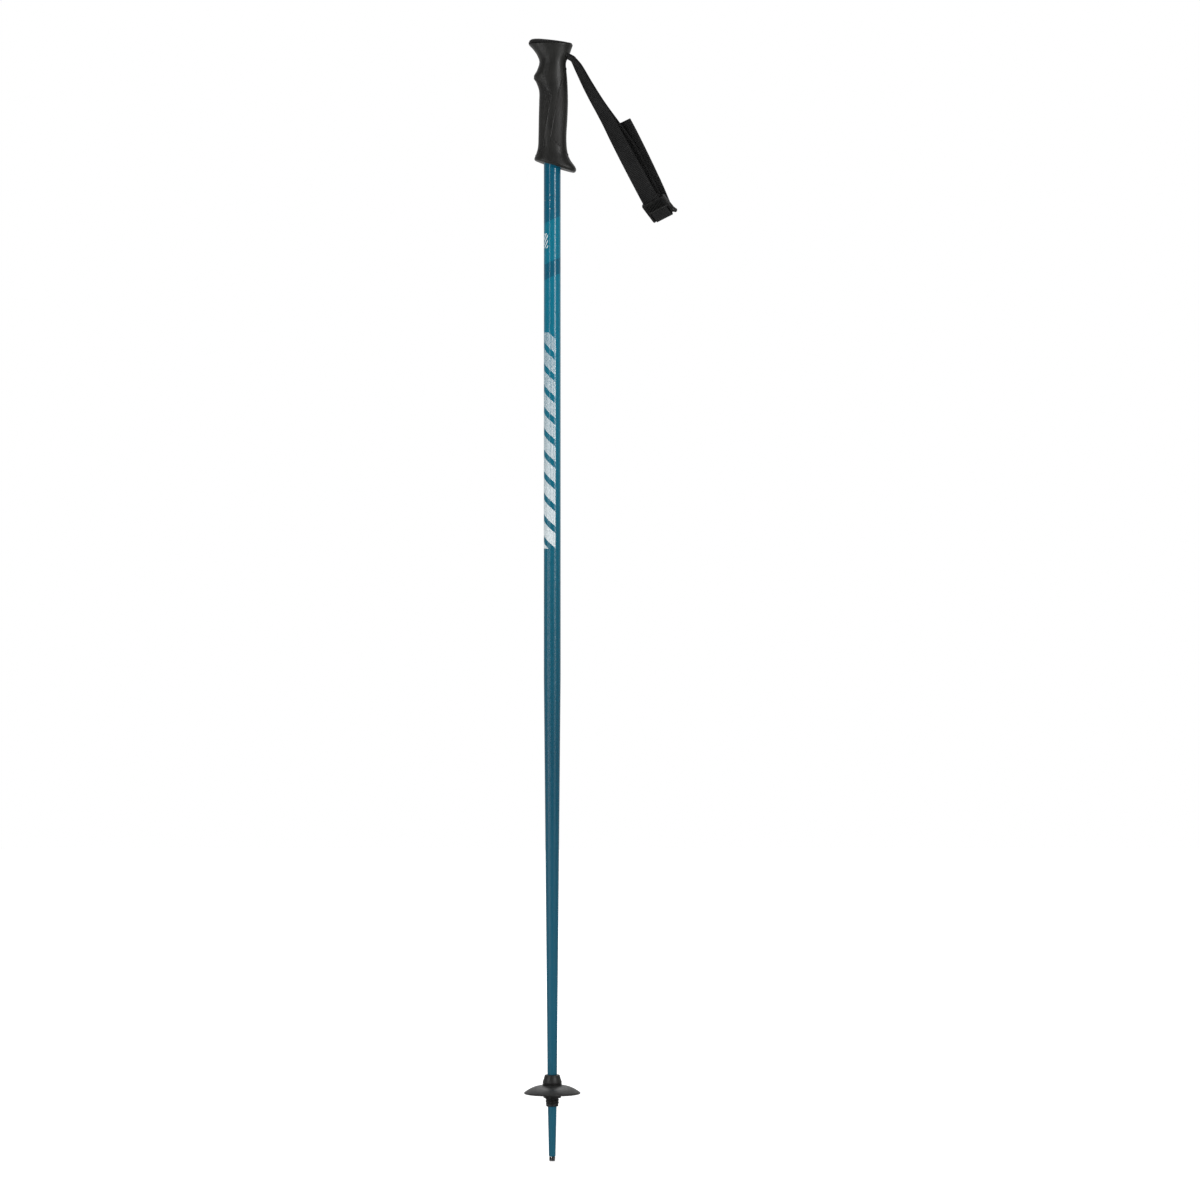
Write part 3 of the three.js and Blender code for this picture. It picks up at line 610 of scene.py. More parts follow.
def shaft():
    """The painted tube, rolled over at its lower end."""
    top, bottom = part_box("shaft")[1].z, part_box("shaft")[0].z
    taper_top, basket_at, sleeve_at = TIP_END + 0.517, TIP_END + 0.095, TIP_END + 0.058
    end_radius, wall, stud_radius = 0.0036, 0.0009, 0.0026
    heights = (bottom, sleeve_at, basket_at, taper_top, top)
    radii = (end_radius, 0.00475, 0.00515, SHAFT_RADIUS, SHAFT_RADIUS)
    outer = [
        (end_radius - 0.0005, bottom),
        (end_radius - 0.0001, bottom + 0.0002),
        (end_radius, bottom + 0.0006),
    ]
    runs = [
        (bottom + 0.002, sleeve_at, 12),
        (basket_at, basket_at, 1),
        (basket_at + 0.02, taper_top, 24),
        (taper_top + 0.02, top, 24),
    ]
    outer += [(np.interp(z, heights, radii), z) for run in runs for z in np.linspace(*run)]
    inner = [(SHAFT_RADIUS - wall, top), (stud_radius, bottom + 0.03), (stud_radius, bottom)]
    piece = mesh_object("painted_shaft", *turned(outer + inner, 128), [paint])
    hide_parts("shaft")
    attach(piece, "pole")


def tip():
    """The steel stud, with rounded flutes round its head and a cup in its end."""
    head, flutes, flute_depth = 0.0046, 8, 0.0011
    # Each level of the head: share of the flutes' depth, radius and height above the end.
    levels = [
        (0.0, 0.0006, 0.0014),
        (0.0, 0.0021, 0.0002),
        (0.3, 0.0026, 0.0),
        (0.8, 0.0031, 0.00015),
        (1.0, 0.00335, 0.0006),
        (1.0, 0.00335, head - 0.0008),
        (0.3, 0.00335, head - 0.0004),
        (0.0, 0.0033, head),
        (0.0, 0.0023, head + 0.0001),
        (0.0, 0.0023, 0.024),
    ]
    angle = round_angles(128)
    groove = flute_depth * np.clip(np.cos(flutes * angle), 0, 1) ** 0.7
    rings = [circle(angle, radius - share * groove, TIP_END + up) for share, radius, up in levels]
    piece = mesh_object("fluted_tip", *tube(rings), [steel], 35)
    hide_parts("steel_tip")
    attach(piece, "pole")


def sleeve():
    """The cone collar over a long round-crested screw thread, and its plain lower ring."""
    low, high = (corner.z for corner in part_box("basket_sleeve"))
    thread_low, thread_high = low + 0.0027, high - 0.0093
    pitch, root, crest = 0.00275, 0.00675, 0.0073
    bore, ring_radius, edge = 0.0053, 0.00655, 0.0004
    angle = round_angles(128)
    levels = [(thread_low, bore), (low, bore)]
    for step in np.linspace(0, math.pi / 2, 5):
        levels.append((low + edge * (1 - math.cos(step)), ring_radius - edge * (1 - math.sin(step))))
    levels += [(thread_low - 0.0002, ring_radius), (thread_low, 0.0064)]
    for z in np.arange(thread_low + 0.0001, thread_high, pitch / 16):
        turns = (z - thread_low) / pitch - angle / (2 * math.pi)
        phase = np.abs(turns - np.floor(turns) - 0.5)
        fade = smooth_step(0, 0.001, z - thread_low) * smooth_step(0, 0.001, thread_high - z)
        levels.append((z, root + (crest - root) * smooth_step(0.3, 0.05, phase) * fade))
    # The collar above the thread: rise and radius.
    collar = [
        (0.0, root),
        (0.0, 0.0099),
        (0.0001, 0.01015),
        (0.0004, 0.01025),
        (0.0024, 0.0101),
        (0.0030, 0.0098),
        (0.0058, 0.00885),
        (0.0086, 0.00815),
        (0.0091, 0.0078),
        (0.0093, 0.0073),
        (0.0093, 0.0060),
        (0.0089, 0.0055),
    ]
    levels += [(thread_high + rise, radius) for rise, radius in collar]
    rings = [circle(angle, radius, z) for z, radius in levels]
    piece = mesh_object("threaded_sleeve", *tube(rings), [sleeve_plastic], 45)
    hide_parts("basket_sleeve")
    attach(piece, "pole")


def basket():
    """The domed snow basket: a hub, a thin curled rim, and stiffening ribs below."""
    low, high = (corner.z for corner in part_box("basket"))
    radius, dome_top, rim_top, wall = 0.0302, high - 0.0008, high - 0.0084, 0.0019
    rim_bottom, hub_radius, bore, start = high - 0.0095, 0.0095, 0.0076, 0.0116

    def dome(r):
        return dome_top - (dome_top - rim_top) * (np.maximum(0, r - start) / (radius - start)) ** 1.9

    over = [(r, dome(r)) for r in np.linspace(radius - 0.0004, start, 28)]
    under = [
        (r, max(rim_bottom, dome(r) - wall))
        for r in np.linspace(hub_radius + 0.0012, radius - 0.0008, 22)
    ]
    profile = [
        (bore, low),
        (hub_radius - 0.0005, low),
        (hub_radius - 0.0001, low + 0.0001),
        (hub_radius, low + 0.0005),
        (hub_radius, dome_top - wall - 0.0008),
        *under,
        (radius - 0.0003, rim_bottom - 0.00002),
        (radius - 0.00005, rim_bottom + 0.0003),
        (radius, rim_bottom + 0.0006),
        (radius - 0.0001, rim_top - 0.0001),
        *over,
        (0.0104, dome_top + 0.0001),
        (0.0102, high - 0.0002),
        (0.0099, high),
        (bore, high),
    ]
    parts = [turned(profile, 160)]
    # A rib's side, from the hub out along its lower edge and back under the dome.
    rib = [(hub_radius - 0.0005, rim_top + 0.0002), (0.024, rim_top - 0.0002)]
    rib += [(r, dome(r) - 0.0010) for r in (0.0268, 0.022, 0.016)]
    rib += [(hub_radius - 0.0005, dome_top - 0.0010)]
    count = len(rib)
    faces = [tuple(range(count)), tuple(range(2 * count - 1, count - 1, -1))]
    faces += [(j, (j + 1) % count, count + (j + 1) % count, count + j) for j in range(count)]
    for i in range(8):
        turn = Matrix.Rotation(i * math.pi / 4, 3, "Z")
        points = [turn @ Vector((r, half, z)) for half in (-0.0007, 0.0007) for r, z in rib]
        parts.append((points, faces))
    piece = mesh_object("snow_basket", *join(*parts), [basket_plastic], 35)
    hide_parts("basket")
    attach(piece, "basket")


def washer():
    """The thin ring between the collar and the basket."""
    low, high = (corner.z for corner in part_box("basket_washer"))
    outline = rounded([(0.0076, low), (0.0105, low), (0.0105, high), (0.0076, high)], 0.0003)
    piece = mesh_object("basket_lock_ring", *turned(outline, 128), [sleeve_plastic], 50)
    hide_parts("basket_washer")
    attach(piece, "washer")


# ---- Grip ----

stations = np.array(GRIP_STATIONS)


def bend(v):
    """A cosine or sine, drawn outwards to make a round section squarer."""
    return np.sign(v) * np.abs(v) ** (2 / GRIP_SQUARENESS)


def grip_edges(z):
    """The grip's front edge, back edge and half depth at heights."""
    return [hermite(stations[:, 0], stations[:, i], z) for i in (1, 2, 3)]


def grip_skin(z, angle, inset=0.0):
    """Points on the grip's skin at heights and angles, drawn in by an inset."""
    front, back, depth = grip_edges(z)
    x = (front + back) / 2 + ((back - front) / 2 - inset) * bend(np.cos(angle))
    return points_at(x, (depth - inset) * bend(np.sin(angle)), z)


def at_back(x):
    """0 over most of the head, rising to 1 at its back corner."""
    return smooth_step(0.010, 0.021, x)


def edge_x(edge, z):
    """Where a pad's edge lies at a height, in the side view."""
    rows = sorted(edge, key=lambda point: point[1])
    return np.interp(z, [h for _, h in rows], [x for x, _ in rows])


def edge_distance(edge, x, z):
    """How far points are from a pad's edge in the side view."""
    points = np.stack([x, z], -1)
    nearest = np.full(points.shape[:-1], np.inf)
    for start, end in zip(edge, edge[1:]):
        a, b = np.array(start), np.array(end)
        t = np.clip(((points - a) @ (b - a)) / ((b - a) @ (b - a)), 0, 1)
        nearest = np.minimum(nearest, np.linalg.norm(points - a - t[..., None] * (b - a), axis=-1))
    return nearest


def grip_core():
    """The hard core: a flared lower lip, recesses under the pads and a bore for the shaft."""
    columns, rows = 288, 420
    angle = round_angles(columns)
    slope = (LOWER_RIM_BACK[1] - LOWER_RIM_FRONT[1]) / (LOWER_RIM_BACK[0] - LOWER_RIM_FRONT[0])

    def rim(x):
        return LOWER_RIM_FRONT[1] + slope * (x - LOWER_RIM_FRONT[0])

    lowest = np.full(columns, LOWER_RIM_FRONT[1])
    for _ in range(8):
        lowest = rim(grip_skin(lowest, angle)[:, 0])
    top = HEAD_RIM - 0.0001
    edge_radius = 0.0009 + HEAD_ROUNDING * at_back(grip_skin(top, angle)[:, 0])
    bore = SHAFT_RADIUS + GAP
    rings = [circle(angle, bore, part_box("shaft")[1].z + GAP)]
    for radius, rise in ((bore, 0.0012), (1.08 * bore, 0.0004)):
        rings.append(circle(angle, radius, rim(radius * np.cos(angle)) + rise))
    for step in np.linspace(0, math.pi / 2, 14):
        lift = LIP_HEIGHT * (1 - math.cos(step))
        rings.append(grip_skin(lowest + lift, angle, LIP_DEPTH * (1 - math.sin(step))))
    for share in np.linspace(0, 1, rows)[1:]:
        z = lowest + LIP_HEIGHT + (top - edge_radius - lowest - LIP_HEIGHT) * share
        x = grip_skin(z, angle)[:, 0]
        inset = np.zeros(columns)
        for edge, inside in ((FRONT_PAD_EDGE, np.less), (REAR_PAD_EDGE, np.greater)):
            heights = [h for _, h in edge]
            under = inside(x, edge_x(edge, z)) & (z > min(heights)) & (z < max(heights))
            sink = 0.0011 * smooth_step(0.0005, 0.0012, edge_distance(edge, x, z))
            inset = np.where(under, sink, inset)
        rings.append(grip_skin(z, angle, inset))
    for step in np.linspace(0, math.pi / 2, 7)[1:]:
        z = top - edge_radius * (1 - math.sin(step))
        rings.append(grip_skin(z, angle, edge_radius * (1 - math.cos(step))))
    piece = mesh_object("grip_body", *tube(rings), [core_plastic], 50)
    cut_slot(piece)
    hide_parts("grip_core")
    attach(piece, "pole")


def cut_slot(piece):
    """Cuts the strap's slot and the pocket over the pin out of the grip's head."""
    half = 0.0104
    pocket_top = HEAD_RIM + 0.002
    pin_end, pin_room = 0.0139, 0.0012
    slot = Matrix.Translation(PIN) @ Matrix.Rotation(SLOT_FALL, 4, "Y")
    # Each hole runs in x between two ends: x, half width, bottom, top, and the rise across the hand.
    holes = [
        (slot, (0.0040, half, -0.0031, 0.0031, 0.0), (0.0300, half, -0.0009, 0.0009, -0.14)),
        (Matrix(), (0.0155, half, 0.0549, 0.0570, 0.0), (0.0200, half, 0.0516, 0.0570, 0.0)),
        (Matrix(), (-0.0060, half, 0.0540, pocket_top, 0.0), (0.0075, half, 0.0540, pocket_top, 0.0)),
        (
            Matrix(),
            (PIN.x - pin_room, pin_end, PIN.z - pin_room, pocket_top, 0.0),
            (PIN.x + pin_room, pin_end, PIN.z - pin_room, pocket_top, 0.0),
        ),
    ]
    for place, *ends in holes:
        corners = [
            (x, y, z + rise * y)
            for x, wide, low, high, rise in ends
            for y in (-wide, wide)
            for z in (low, high)
        ]
        faces = [(0, 1, 3, 2), (4, 6, 7, 5), (0, 4, 5, 1), (2, 3, 7, 6), (0, 2, 6, 4), (1, 5, 7, 3)]
        cutter = mesh_object("cutter", [place @ Vector(c) for c in corners], faces, [core_plastic])
        cut = piece.modifiers.new("cut", "BOOLEAN")
        cut.operation = "DIFFERENCE"
        cut.object = cutter
        with bpy.context.temp_override(object=piece, active_object=piece):
            bpy.ops.object.modifier_apply(modifier=cut.name)
        bpy.data.objects.remove(cutter)
    piece.data.shade_smooth()
    piece.data.set_sharp_from_angle(angle=math.radians(50))


def grip_pad(name, node, edge, towards, ribs):
    """A soft pad let into the core, with a rolled edge, a raised border line and fine ribs.

    towards is the angle of the pad's middle: pi at the grip's front and 0 at its back.
    """
    rows, columns = 330, 190
    heights = [h for _, h in edge]
    z = np.linspace(min(heights) + 0.0004, max(heights) - 0.0004, rows)[:, None]
    front, back, _ = grip_edges(z)
    share = (edge_x(edge, z) - (front + back) / 2) / ((back - front) / 2)
    reach = np.arccos(np.clip(np.sign(share) * np.abs(share) ** (GRIP_SQUARENESS / 2), -1, 1))
    reach = np.abs(reach - towards)
    u = np.linspace(-1, 1, columns)[None, :]
    angle = towards + u * np.maximum(reach, 0.01)
    plain = grip_skin(z, angle)
    distance_in = edge_distance(edge, plain[..., 0], plain[..., 2])
    z = np.broadcast_to(z, angle.shape)
    roll = 0.0006 * (1 - smooth_step(0, 0.0004, distance_in))
    border = 0.0004 * smooth_step(0.0005, 0.0008, distance_in) * smooth_step(0.0016, 0.0012, distance_in)
    inner = smooth_step(0.0016, 0.0022, distance_in)
    relief = border + PAD_RIB_HEIGHT * inner * ribs(plain[..., 0], z) - roll
    proud = 0.00004
    outer = grip_skin(z, angle, -proud - relief)
    piece = mesh_object(name, *plate(outer, grip_skin(z, angle, PAD_INSIDE)), [pad_rubber], 60)
    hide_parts(node)
    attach(piece, "pole")


def wave(distance_along):
    """A row of round ribs, from 0 between them to 1 on their crests."""
    return 0.5 + 0.5 * np.cos(2 * math.pi * distance_along / PAD_RIB_PITCH)


def front_ribs(x, z):
    """Slanted ribs that mirror each other on the grip's two sides."""
    return wave(0.72 * z - 0.69 * x)


def rear_ribs(x, z):
    """Small diamonds near the pad's edge that run out into slanted ribs at the back."""
    slanted = wave(0.57 * z - 0.82 * x)
    crossed = slanted * wave(0.57 * z + 0.82 * x)
    back = smooth_step(0.0080, 0.0115, x)
    return back * slanted + (1 - back) * crossed


def grip_cap():
    """The crowned cap over the head, highest at the nose."""
    rim = grip_skin(HEAD_RIM - GAP, round_angles(224))
    # At the back the cap stays inside the core's rounder corner.
    rim[:, 0] -= 1.2 * HEAD_ROUNDING * at_back(rim[:, 0])
    # The crown's rings: their scale and their share of its height.
    scales = [1, 1, 0.975, 0.92, 0.83, 0.66, 0.3, 0.02]
    rises = [0, 0.12, 0.40, 0.68, 0.87, 0.97, 1.0, 1.005]
    middle_x, nose_x, nose_rise, crown_slope = -0.002, -0.020, 0.0056, 0.122
    rings = []

    def drawn_in(scale):
        return middle_x + (rim[:, 0] - middle_x) * scale, rim[:, 1] * scale

    for rise, inset in ((0.0001, 0.0022), (0.0, 0.0009), (0.0001, 0.0005), (0.0003, 0.0002)):
        rings.append(points_at(*drawn_in(1 - inset / 0.02), HEAD_RIM + rise))
    for k in np.linspace(0, len(scales) - 1, 60)[3:]:
        x, y = drawn_in(hermite(range(len(scales)), scales, k))
        rise = hermite(range(len(rises)), rises, k)
        crown = nose_rise - crown_slope * (x - nose_x)
        rings.append(points_at(x, y, HEAD_RIM + np.maximum(rise * crown, 0.0004)))
    piece = mesh_object("grip_top_cap", *tube(rings), [cap_plastic], 50)
    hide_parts("grip_cap")
    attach(piece, "pole")


# ---- Strap ----

PER_SPAN = 100  # points from one station of the strap's line to the next


def catmull_rom(points):
    """Points along a centripetal Catmull-Rom curve."""
    points = np.asarray(points, float)
    ends = (2 * points[0] - points[1], 2 * points[-1] - points[-2])
    padded = np.vstack([ends[0], points, ends[1]])
    made = []
    for p0, p1, p2, p3 in zip(padded, padded[1:], padded[2:], padded[3:]):
        a, b, c = (np.linalg.norm(q - p) ** 0.5 for p, q in ((p0, p1), (p1, p2), (p2, p3)))
        start = b * ((p1 - p0) / a - (p2 - p0) / (a + b) + (p2 - p1) / b)
        end = b * ((p2 - p1) / b - (p3 - p1) / (b + c) + (p3 - p2) / c)
        for t in np.arange(PER_SPAN) / PER_SPAN:
            cube = 2 * p1 - 2 * p2 + start + end
            square = -3 * p1 + 3 * p2 - 2 * start - end
            made.append(p1 + t * start + t**2 * square + t**3 * cube)
    return np.array([*made, points[-1]])


line = catmull_rom([(x, 0, z) for x, z, _, _ in STRAP_LINE])
line_lengths = running_lengths(line)
line_shares = line_lengths / line_lengths[-1]
station_shares = line_shares[::PER_SPAN]
AT_BUCKLE = station_shares[BUCKLE_STATION]


def on_line(share):
    """The point at a share of the strap's line."""
    return Vector(points_along(share, line_shares, line))


def strap_frame(share, twist=None):
    """Directions at a share of the strap's line: along it, across the webbing, out of its back."""
    if twist is None:
        twist = float(hermite(station_shares, [row[2] for row in STRAP_LINE], share))
        twist += (EXIT_TWIST + 2 * smooth_step(0, 0.08, share)) * (1 - smooth_step(0.15, 0.45, share))
    travel = (on_line(min(share + 0.004, 1)) - on_line(max(share - 0.004, 0))).normalized()
    up_right = Vector((-travel.z, 0, travel.x))
    turn = math.radians(twist)
    across = math.sin(turn) * up_right - math.cos(turn) * Vector((0, 1, 0))
    back = math.cos(turn) * up_right + math.sin(turn) * Vector((0, 1, 0))
    return travel, across, back


def strap_point(share, behind, shift):
    """The middle of the webbing behind the line, and its direction across."""
    _, across, back = strap_frame(share)
    return on_line(share) + back * behind + across * shift, across


def buckle_place():
    """The matrix from the flat buckle (x across, y up, z out of its front) to its place."""
    travel, across, back = strap_frame(AT_BUCKLE, BUCKLE_TWIST)
    lean = math.radians(BUCKLE_LEAN)
    up = -math.cos(lean) * travel - math.sin(lean) * back
    front = math.sin(lean) * travel - math.cos(lean) * back
    roll = Matrix.Rotation(-math.radians(BUCKLE_ROLL), 3, front)
    centre = on_line(AT_BUCKLE) - FRONT_WEB * front
    across, up = roll @ across, roll @ up
    centre += BUCKLE_SHIFT * (roll.inverted() @ across) + (BUCKLE_RISE - BUCKLE_LENGTH / 2) * up
    place = Matrix((across, up, front)).transposed().to_4x4()
    place.translation = centre
    return place


BUCKLE = buckle_place()
buckle_across = (BUCKLE.to_3x3() @ Vector((1, 0, 0))).normalized()


def in_buckle(y, z, x=FOLD_SHIFT):
    """A sample of the webbing at a place in the buckle."""
    return BUCKLE @ Vector((x, y, z)), buckle_across


def bridge(start, end, reach, steps=24):
    """Samples of a curve from one run of samples to the next, along both their directions."""
    (a0, _), (a1, across_a) = start[-2:]
    (b0, across_b), (b1, _) = end[:2]
    from_a = (a1 - a0).normalized() * reach
    from_b = (b0 - b1).normalized() * reach
    made = []
    for t in np.linspace(0, 1, steps)[1:-1].tolist():
        s = 1 - t
        point = s**3 * a1 + 3 * s * s * t * (a1 + from_a)
        point = point + 3 * s * t * t * (b0 + from_b) + t**3 * b0
        made.append((point, across_a.lerp(across_b, t * t * (3 - 2 * t)).normalized()))
    return made


def chain(*runs):
    """Runs of samples joined by bridges; a number between two runs is the bridge's reach."""
    made = list(runs[0])
    for reach, run in zip(runs[1::2], runs[2::2]):
        made += bridge(made, run, reach) + list(run)
    return made


def leg(start, end, behind, shift=lambda share: 0.0, steps=80):
    """Samples of a leg between two shares of the line, from how far it lies behind it and aside."""
    shares = np.linspace(start, end, steps)
    return [strap_point(s, float(behind(s)), float(shift(s))) for s in shares]


def length_of(path):
    return sum((b[0] - a[0]).length for a, b in zip(path, path[1:]))


def leg_gaps(share):
    """How far the front and rear legs lie behind the line: together at the top, apart lower down."""
    gap = hermite(station_shares, [row[3] for row in STRAP_LINE], share)
    together = 1 - smooth_step(0.30, 0.50, share)
    front = together * (gap - LEGS_TOGETHER) / 2
    return front, gap - front


def turn_round_pin():
    """The webbing's turn over the pin; both sides close on each other towards the slot's mouth."""
    fall = Matrix.Rotation(SLOT_FALL, 3, "Y")
    radius = PIN_RADIUS + 0.00025 + WEB_THICKNESS / 2

    def side(x, sign):
        closing = float(smooth_step(0.002, 0.0165, x))
        turn = math.radians(EXIT_TWIST) * closing
        height = sign * (radius + (LEGS_TOGETHER / 2 - radius) * closing)
        return PIN + fall @ Vector((x, 0, height)), fall @ Vector((0, -math.cos(turn), math.sin(turn)))

    arc = [
        (PIN + fall @ Vector((-radius * math.sin(a), 0, -radius * math.cos(a))), Vector((0, -1, 0)))
        for a in np.linspace(0, math.pi, 24)
    ]
    places = np.linspace(0.0005, 0.0165, 12).tolist()
    return [side(x, -1) for x in places[::-1]] + arc + [side(x, 1) for x in places]


def arc_round_bar(bar, start, end, x=FOLD_SHIFT, steps=24, slack=0.0):
    """Samples round one of the buckle's bars; angles are measured from its front towards its foot."""
    made = []
    for a in np.linspace(start, end, steps):
        drop = (FOLD_MIDDLE + slack) * math.sin(a)
        made.append(in_buckle(bar[0] - drop, bar[1] + FOLD_MIDDLE * math.cos(a), x))
    return made


def resample(path, step):
    """Evenly spaced middles, with the directions of travel, across and outwards, and lengths."""
    middles = np.array([tuple(p) for p, _ in path])
    across = np.array([tuple(a) for _, a in path])
    lengths = running_lengths(middles)
    at = np.linspace(0, lengths[-1], int(lengths[-1] / step))
    middles = points_along(at, lengths, middles)
    across = points_along(at, lengths, across)
    for _ in range(6):
        middles[1:-1] = (middles[:-2] + 2 * middles[1:-1] + middles[2:]) / 4
    travel = np.gradient(middles, axis=0)
    travel /= np.linalg.norm(travel, axis=1)[:, None]
    across -= travel * np.sum(across * travel, axis=1)[:, None]
    across /= np.linalg.norm(across, axis=1)[:, None]
    outwards = np.cross(across, travel)
    return middles, across, outwards, at


def webbing_section():
    """Places across the webbing and shares of its half thickness, round its rounded section."""
    half = WEB_WIDTH / 2
    flat = [-half + 0.0003, -half + 0.0008, *np.linspace(-half + 0.0013, half - 0.0013, 9)]
    flat += [half - 0.0008, half - 0.0003]
    edge = [(half - 0.00008, 0.7), (half, 0.0), (half - 0.00008, -0.7)]
    other = [(-x, -share) for x, share in edge]
    return [(x, 1.0) for x in flat] + edge + [(x, -1.0) for x in flat[::-1]] + other


def webbing_piece(name, path, seam_rows):
    """A length of ribbed webbing along a path, with rows of stitches on it."""
    middles, across, outwards, at = resample(path, WEB_RIB_PITCH / 6)
    section = webbing_section()
    groove = 1 - np.abs(np.sin(math.pi * at / WEB_RIB_PITCH))

    def layer(x, share):
        """One line of points along the webbing; its edges keep their full thickness."""
        inside = smooth_step(0, 0.0009, WEB_WIDTH / 2 - 0.0003 - abs(x))
        height = share * WEB_THICKNESS / 2 * (1 - WEB_RIB_DEPTH * inside * groove)
        return middles + x * across + height[:, None] * outwards

    rings = np.stack([layer(x, share) for x, share in section], axis=1)
    body = tube(rings)
    parts = [body]
    for x, start, end, sides in seam_rows:
        for s in np.arange(start, end, 0.0023):
            i = int(np.searchsorted(at, s))
            for side in sides:
                centre = middles[i] + x * across[i] + side * WEB_THICKNESS / 2 * outwards[i]
                travel = np.cross(outwards[i], across[i])
                parts.append(stitch(centre, travel, across[i], outwards[i]))
    points, faces = join(*parts)
    piece = mesh_object(name, points, faces, [webbing, thread], 70)
    first_thread = len(body[1])
    indices = np.zeros(len(faces), int)
    indices[first_thread:] = 1
    piece.data.polygons.foreach_set("material_index", indices)
    lay = np.zeros((len(points), 2))
    lay[: len(at) * len(section), 0] = np.tile([x for x, _ in section], len(at))
    lay[: len(at) * len(section), 1] = np.repeat(at, len(section))
    loops = np.zeros(len(piece.data.loops), int)
    piece.data.loops.foreach_get("vertex_index", loops)
    piece.data.uv_layers.new(name="web").data.foreach_set("uv", lay[loops].reshape(-1))
    return piece, float(at[-1])


def stitch(centre, travel, across, outwards):
    """One stitch: a small spindle of thread that lies along the webbing."""
    half_length, radius = 0.00085, 0.00021
    angle = round_angles(6)[:, None]
    rings = []
    for place, size in ((-1, 0.25), (-0.6, 0.9), (0.6, 0.9), (1, 0.25)):
        point = centre + place * half_length * travel + (size - 0.6) * radius * outwards
        around = np.cos(angle) * across + np.sin(angle) * outwards
        rings.append(point + size * radius * around)
    return tube(rings)


def strap_loop():
    """The two legs: from the buckle up, over the pin, down again and round the upper bar."""
    up_front = leg(AT_BUCKLE - 0.035, 0.02, lambda share: leg_gaps(share)[0], steps=160)
    down_rear = leg(0.02, AT_BUCKLE - 0.05, lambda share: leg_gaps(share)[1], steps=160)
    eye = [in_buckle(UPPER_BAR[0] + 0.002, UPPER_BAR[1] + FOLD_MIDDLE, 0)]
    eye += arc_round_bar(UPPER_BAR, 0, math.pi, 0)
    eye += [in_buckle(UPPER_BAR[0] + 0.0015, UPPER_BAR[1] - FOLD_MIDDLE, 0)]
    sewn_on = WEB_THICKNESS + 0.00015
    sewn_back = leg(
        AT_BUCKLE - 0.055,
        AT_BUCKLE - 0.13,
        lambda share: leg_gaps(share)[1] + sewn_on,
        steps=24,
    )
    path = chain(up_front, 0.0015, turn_round_pin(), 0.0015, down_rear, 0.003, eye, 0.003, sewn_back)
    total = length_of(path)
    seams = [
        (SEAM_AT, 0.004, total * 0.42, (1, -1)),
        (SEAM_AT, total * 0.52, total - 0.030, (1, -1)),
    ]
    sewn_down = (total - 0.0125, total - 0.002)
    seams += [(x, *sewn_down, (1,)) for x in (0.0060, -0.0060, 0.0)]
    piece, length = webbing_piece("strap_loop", path, seams)
    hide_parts("strap_turn", "strap_front_leg", "strap_rear_leg", "strap_eye")
    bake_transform(piece)


def strap_end():
    """The webbing behind the buckle's pad, over its lower bar and up again as the free end."""
    top = leg(AT_BUCKLE - 0.0352, AT_BUCKLE - 0.030, lambda share: 0.0, steps=3)
    behind_pad = [in_buckle(y, FRONT_WEB) for y in np.linspace(0.0105, LOWER_BAR[0] + 0.001, 12)]
    fold = arc_round_bar(LOWER_BAR, 0, math.pi, slack=0.0007)
    rise = [in_buckle(LOWER_BAR[0] + y, LOWER_BAR[1] - FOLD_MIDDLE) for y in (0.001, 0.0025)]
    tail_keys, tail_behind, tail_shift = zip(*TAIL_LINE)
    tail = leg(
        TAIL_LINE[-1][0],
        TAIL_LINE[0][0],
        lambda share: hermite(tail_keys, tail_behind, share),
        lambda share: hermite(tail_keys, tail_shift, share),
    )
    path = chain(top, 0.0015, behind_pad + fold[1:] + rise, 0.003, tail)
    total = length_of(path)
    seams = [(SEAM_AT, total - 0.100, total - 0.002, (1, -1))]
    piece, length = webbing_piece("strap_free_end", path, seams)
    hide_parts("strap_fold", "strap_tail")
    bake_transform(piece)


# ---- Buckle ----


def prism(outline, low, high, bevel=0.0004):
    """A plate from a closed outline in the x-y plane, with its edges rounded over."""
    made = []
    centre = np.mean(outline, axis=0)
    span = np.abs(np.asarray(outline) - centre).max(axis=0)
    for step in np.linspace(-math.pi / 2, math.pi / 2, 9):
        inset = bevel * (1 - math.cos(step))
        z = (low + bevel if step < 0 else high - bevel) + bevel * math.sin(step)
        scale = 1 - inset / span
        made.append([(*(centre + (np.asarray(p) - centre) * scale), z) for p in outline])
    return tube(made)


def foot_flare(y):
    """How far the right rail stands out at a height."""
    return FOOT_FLARE * float(smooth_step(-0.0080, -0.0120, y))


def rail(x):
    """A side rail: a rounded side profile with softened edges, from x outwards."""
    end = BUCKLE_LENGTH / 2
    corners = [(-end, BUCKLE_FRONT), (-end, BUCKLE_BACK), (end, BUCKLE_BACK), (end, BUCKLE_FRONT)]
    points, faces = prism(rounded(corners, 0.0030, 9), x, x + RAIL_WIDTH, 0.0006)
    share = 1 if x > 0 else 0
    return [(p[2] + share * foot_flare(p[0]), p[0], p[1]) for p in points], faces


def flange():
    """The raised line along the right rail's outer side, out to the rail's foot."""
    half, made = BUCKLE_WIDTH / 2, []
    for y in np.linspace(-BUCKLE_LENGTH / 2 + 0.0015, BUCKLE_LENGTH / 2 - 0.0022, 24):
        x = half + foot_flare(y) - 0.0001
        angle = round_angles(10)
        made.append(points_at(x + 0.0004 * np.cos(angle), y, 0.0004 * np.sin(angle) - 0.0010))
    return tube(made)


def bar(place, half_y, half_z):
    """A round-cornered bar across the buckle between the rails."""
    half = BUCKLE_WIDTH / 2 - 0.001
    y, z = place
    turns = ((-1, -1), (1, -1), (1, 1), (-1, 1))
    outline = rounded([(y + a * half_y, z + b * half_z) for a, b in turns], 0.0007)
    return tube([[(x, *p) for p in outline] for x in (-half, half)])


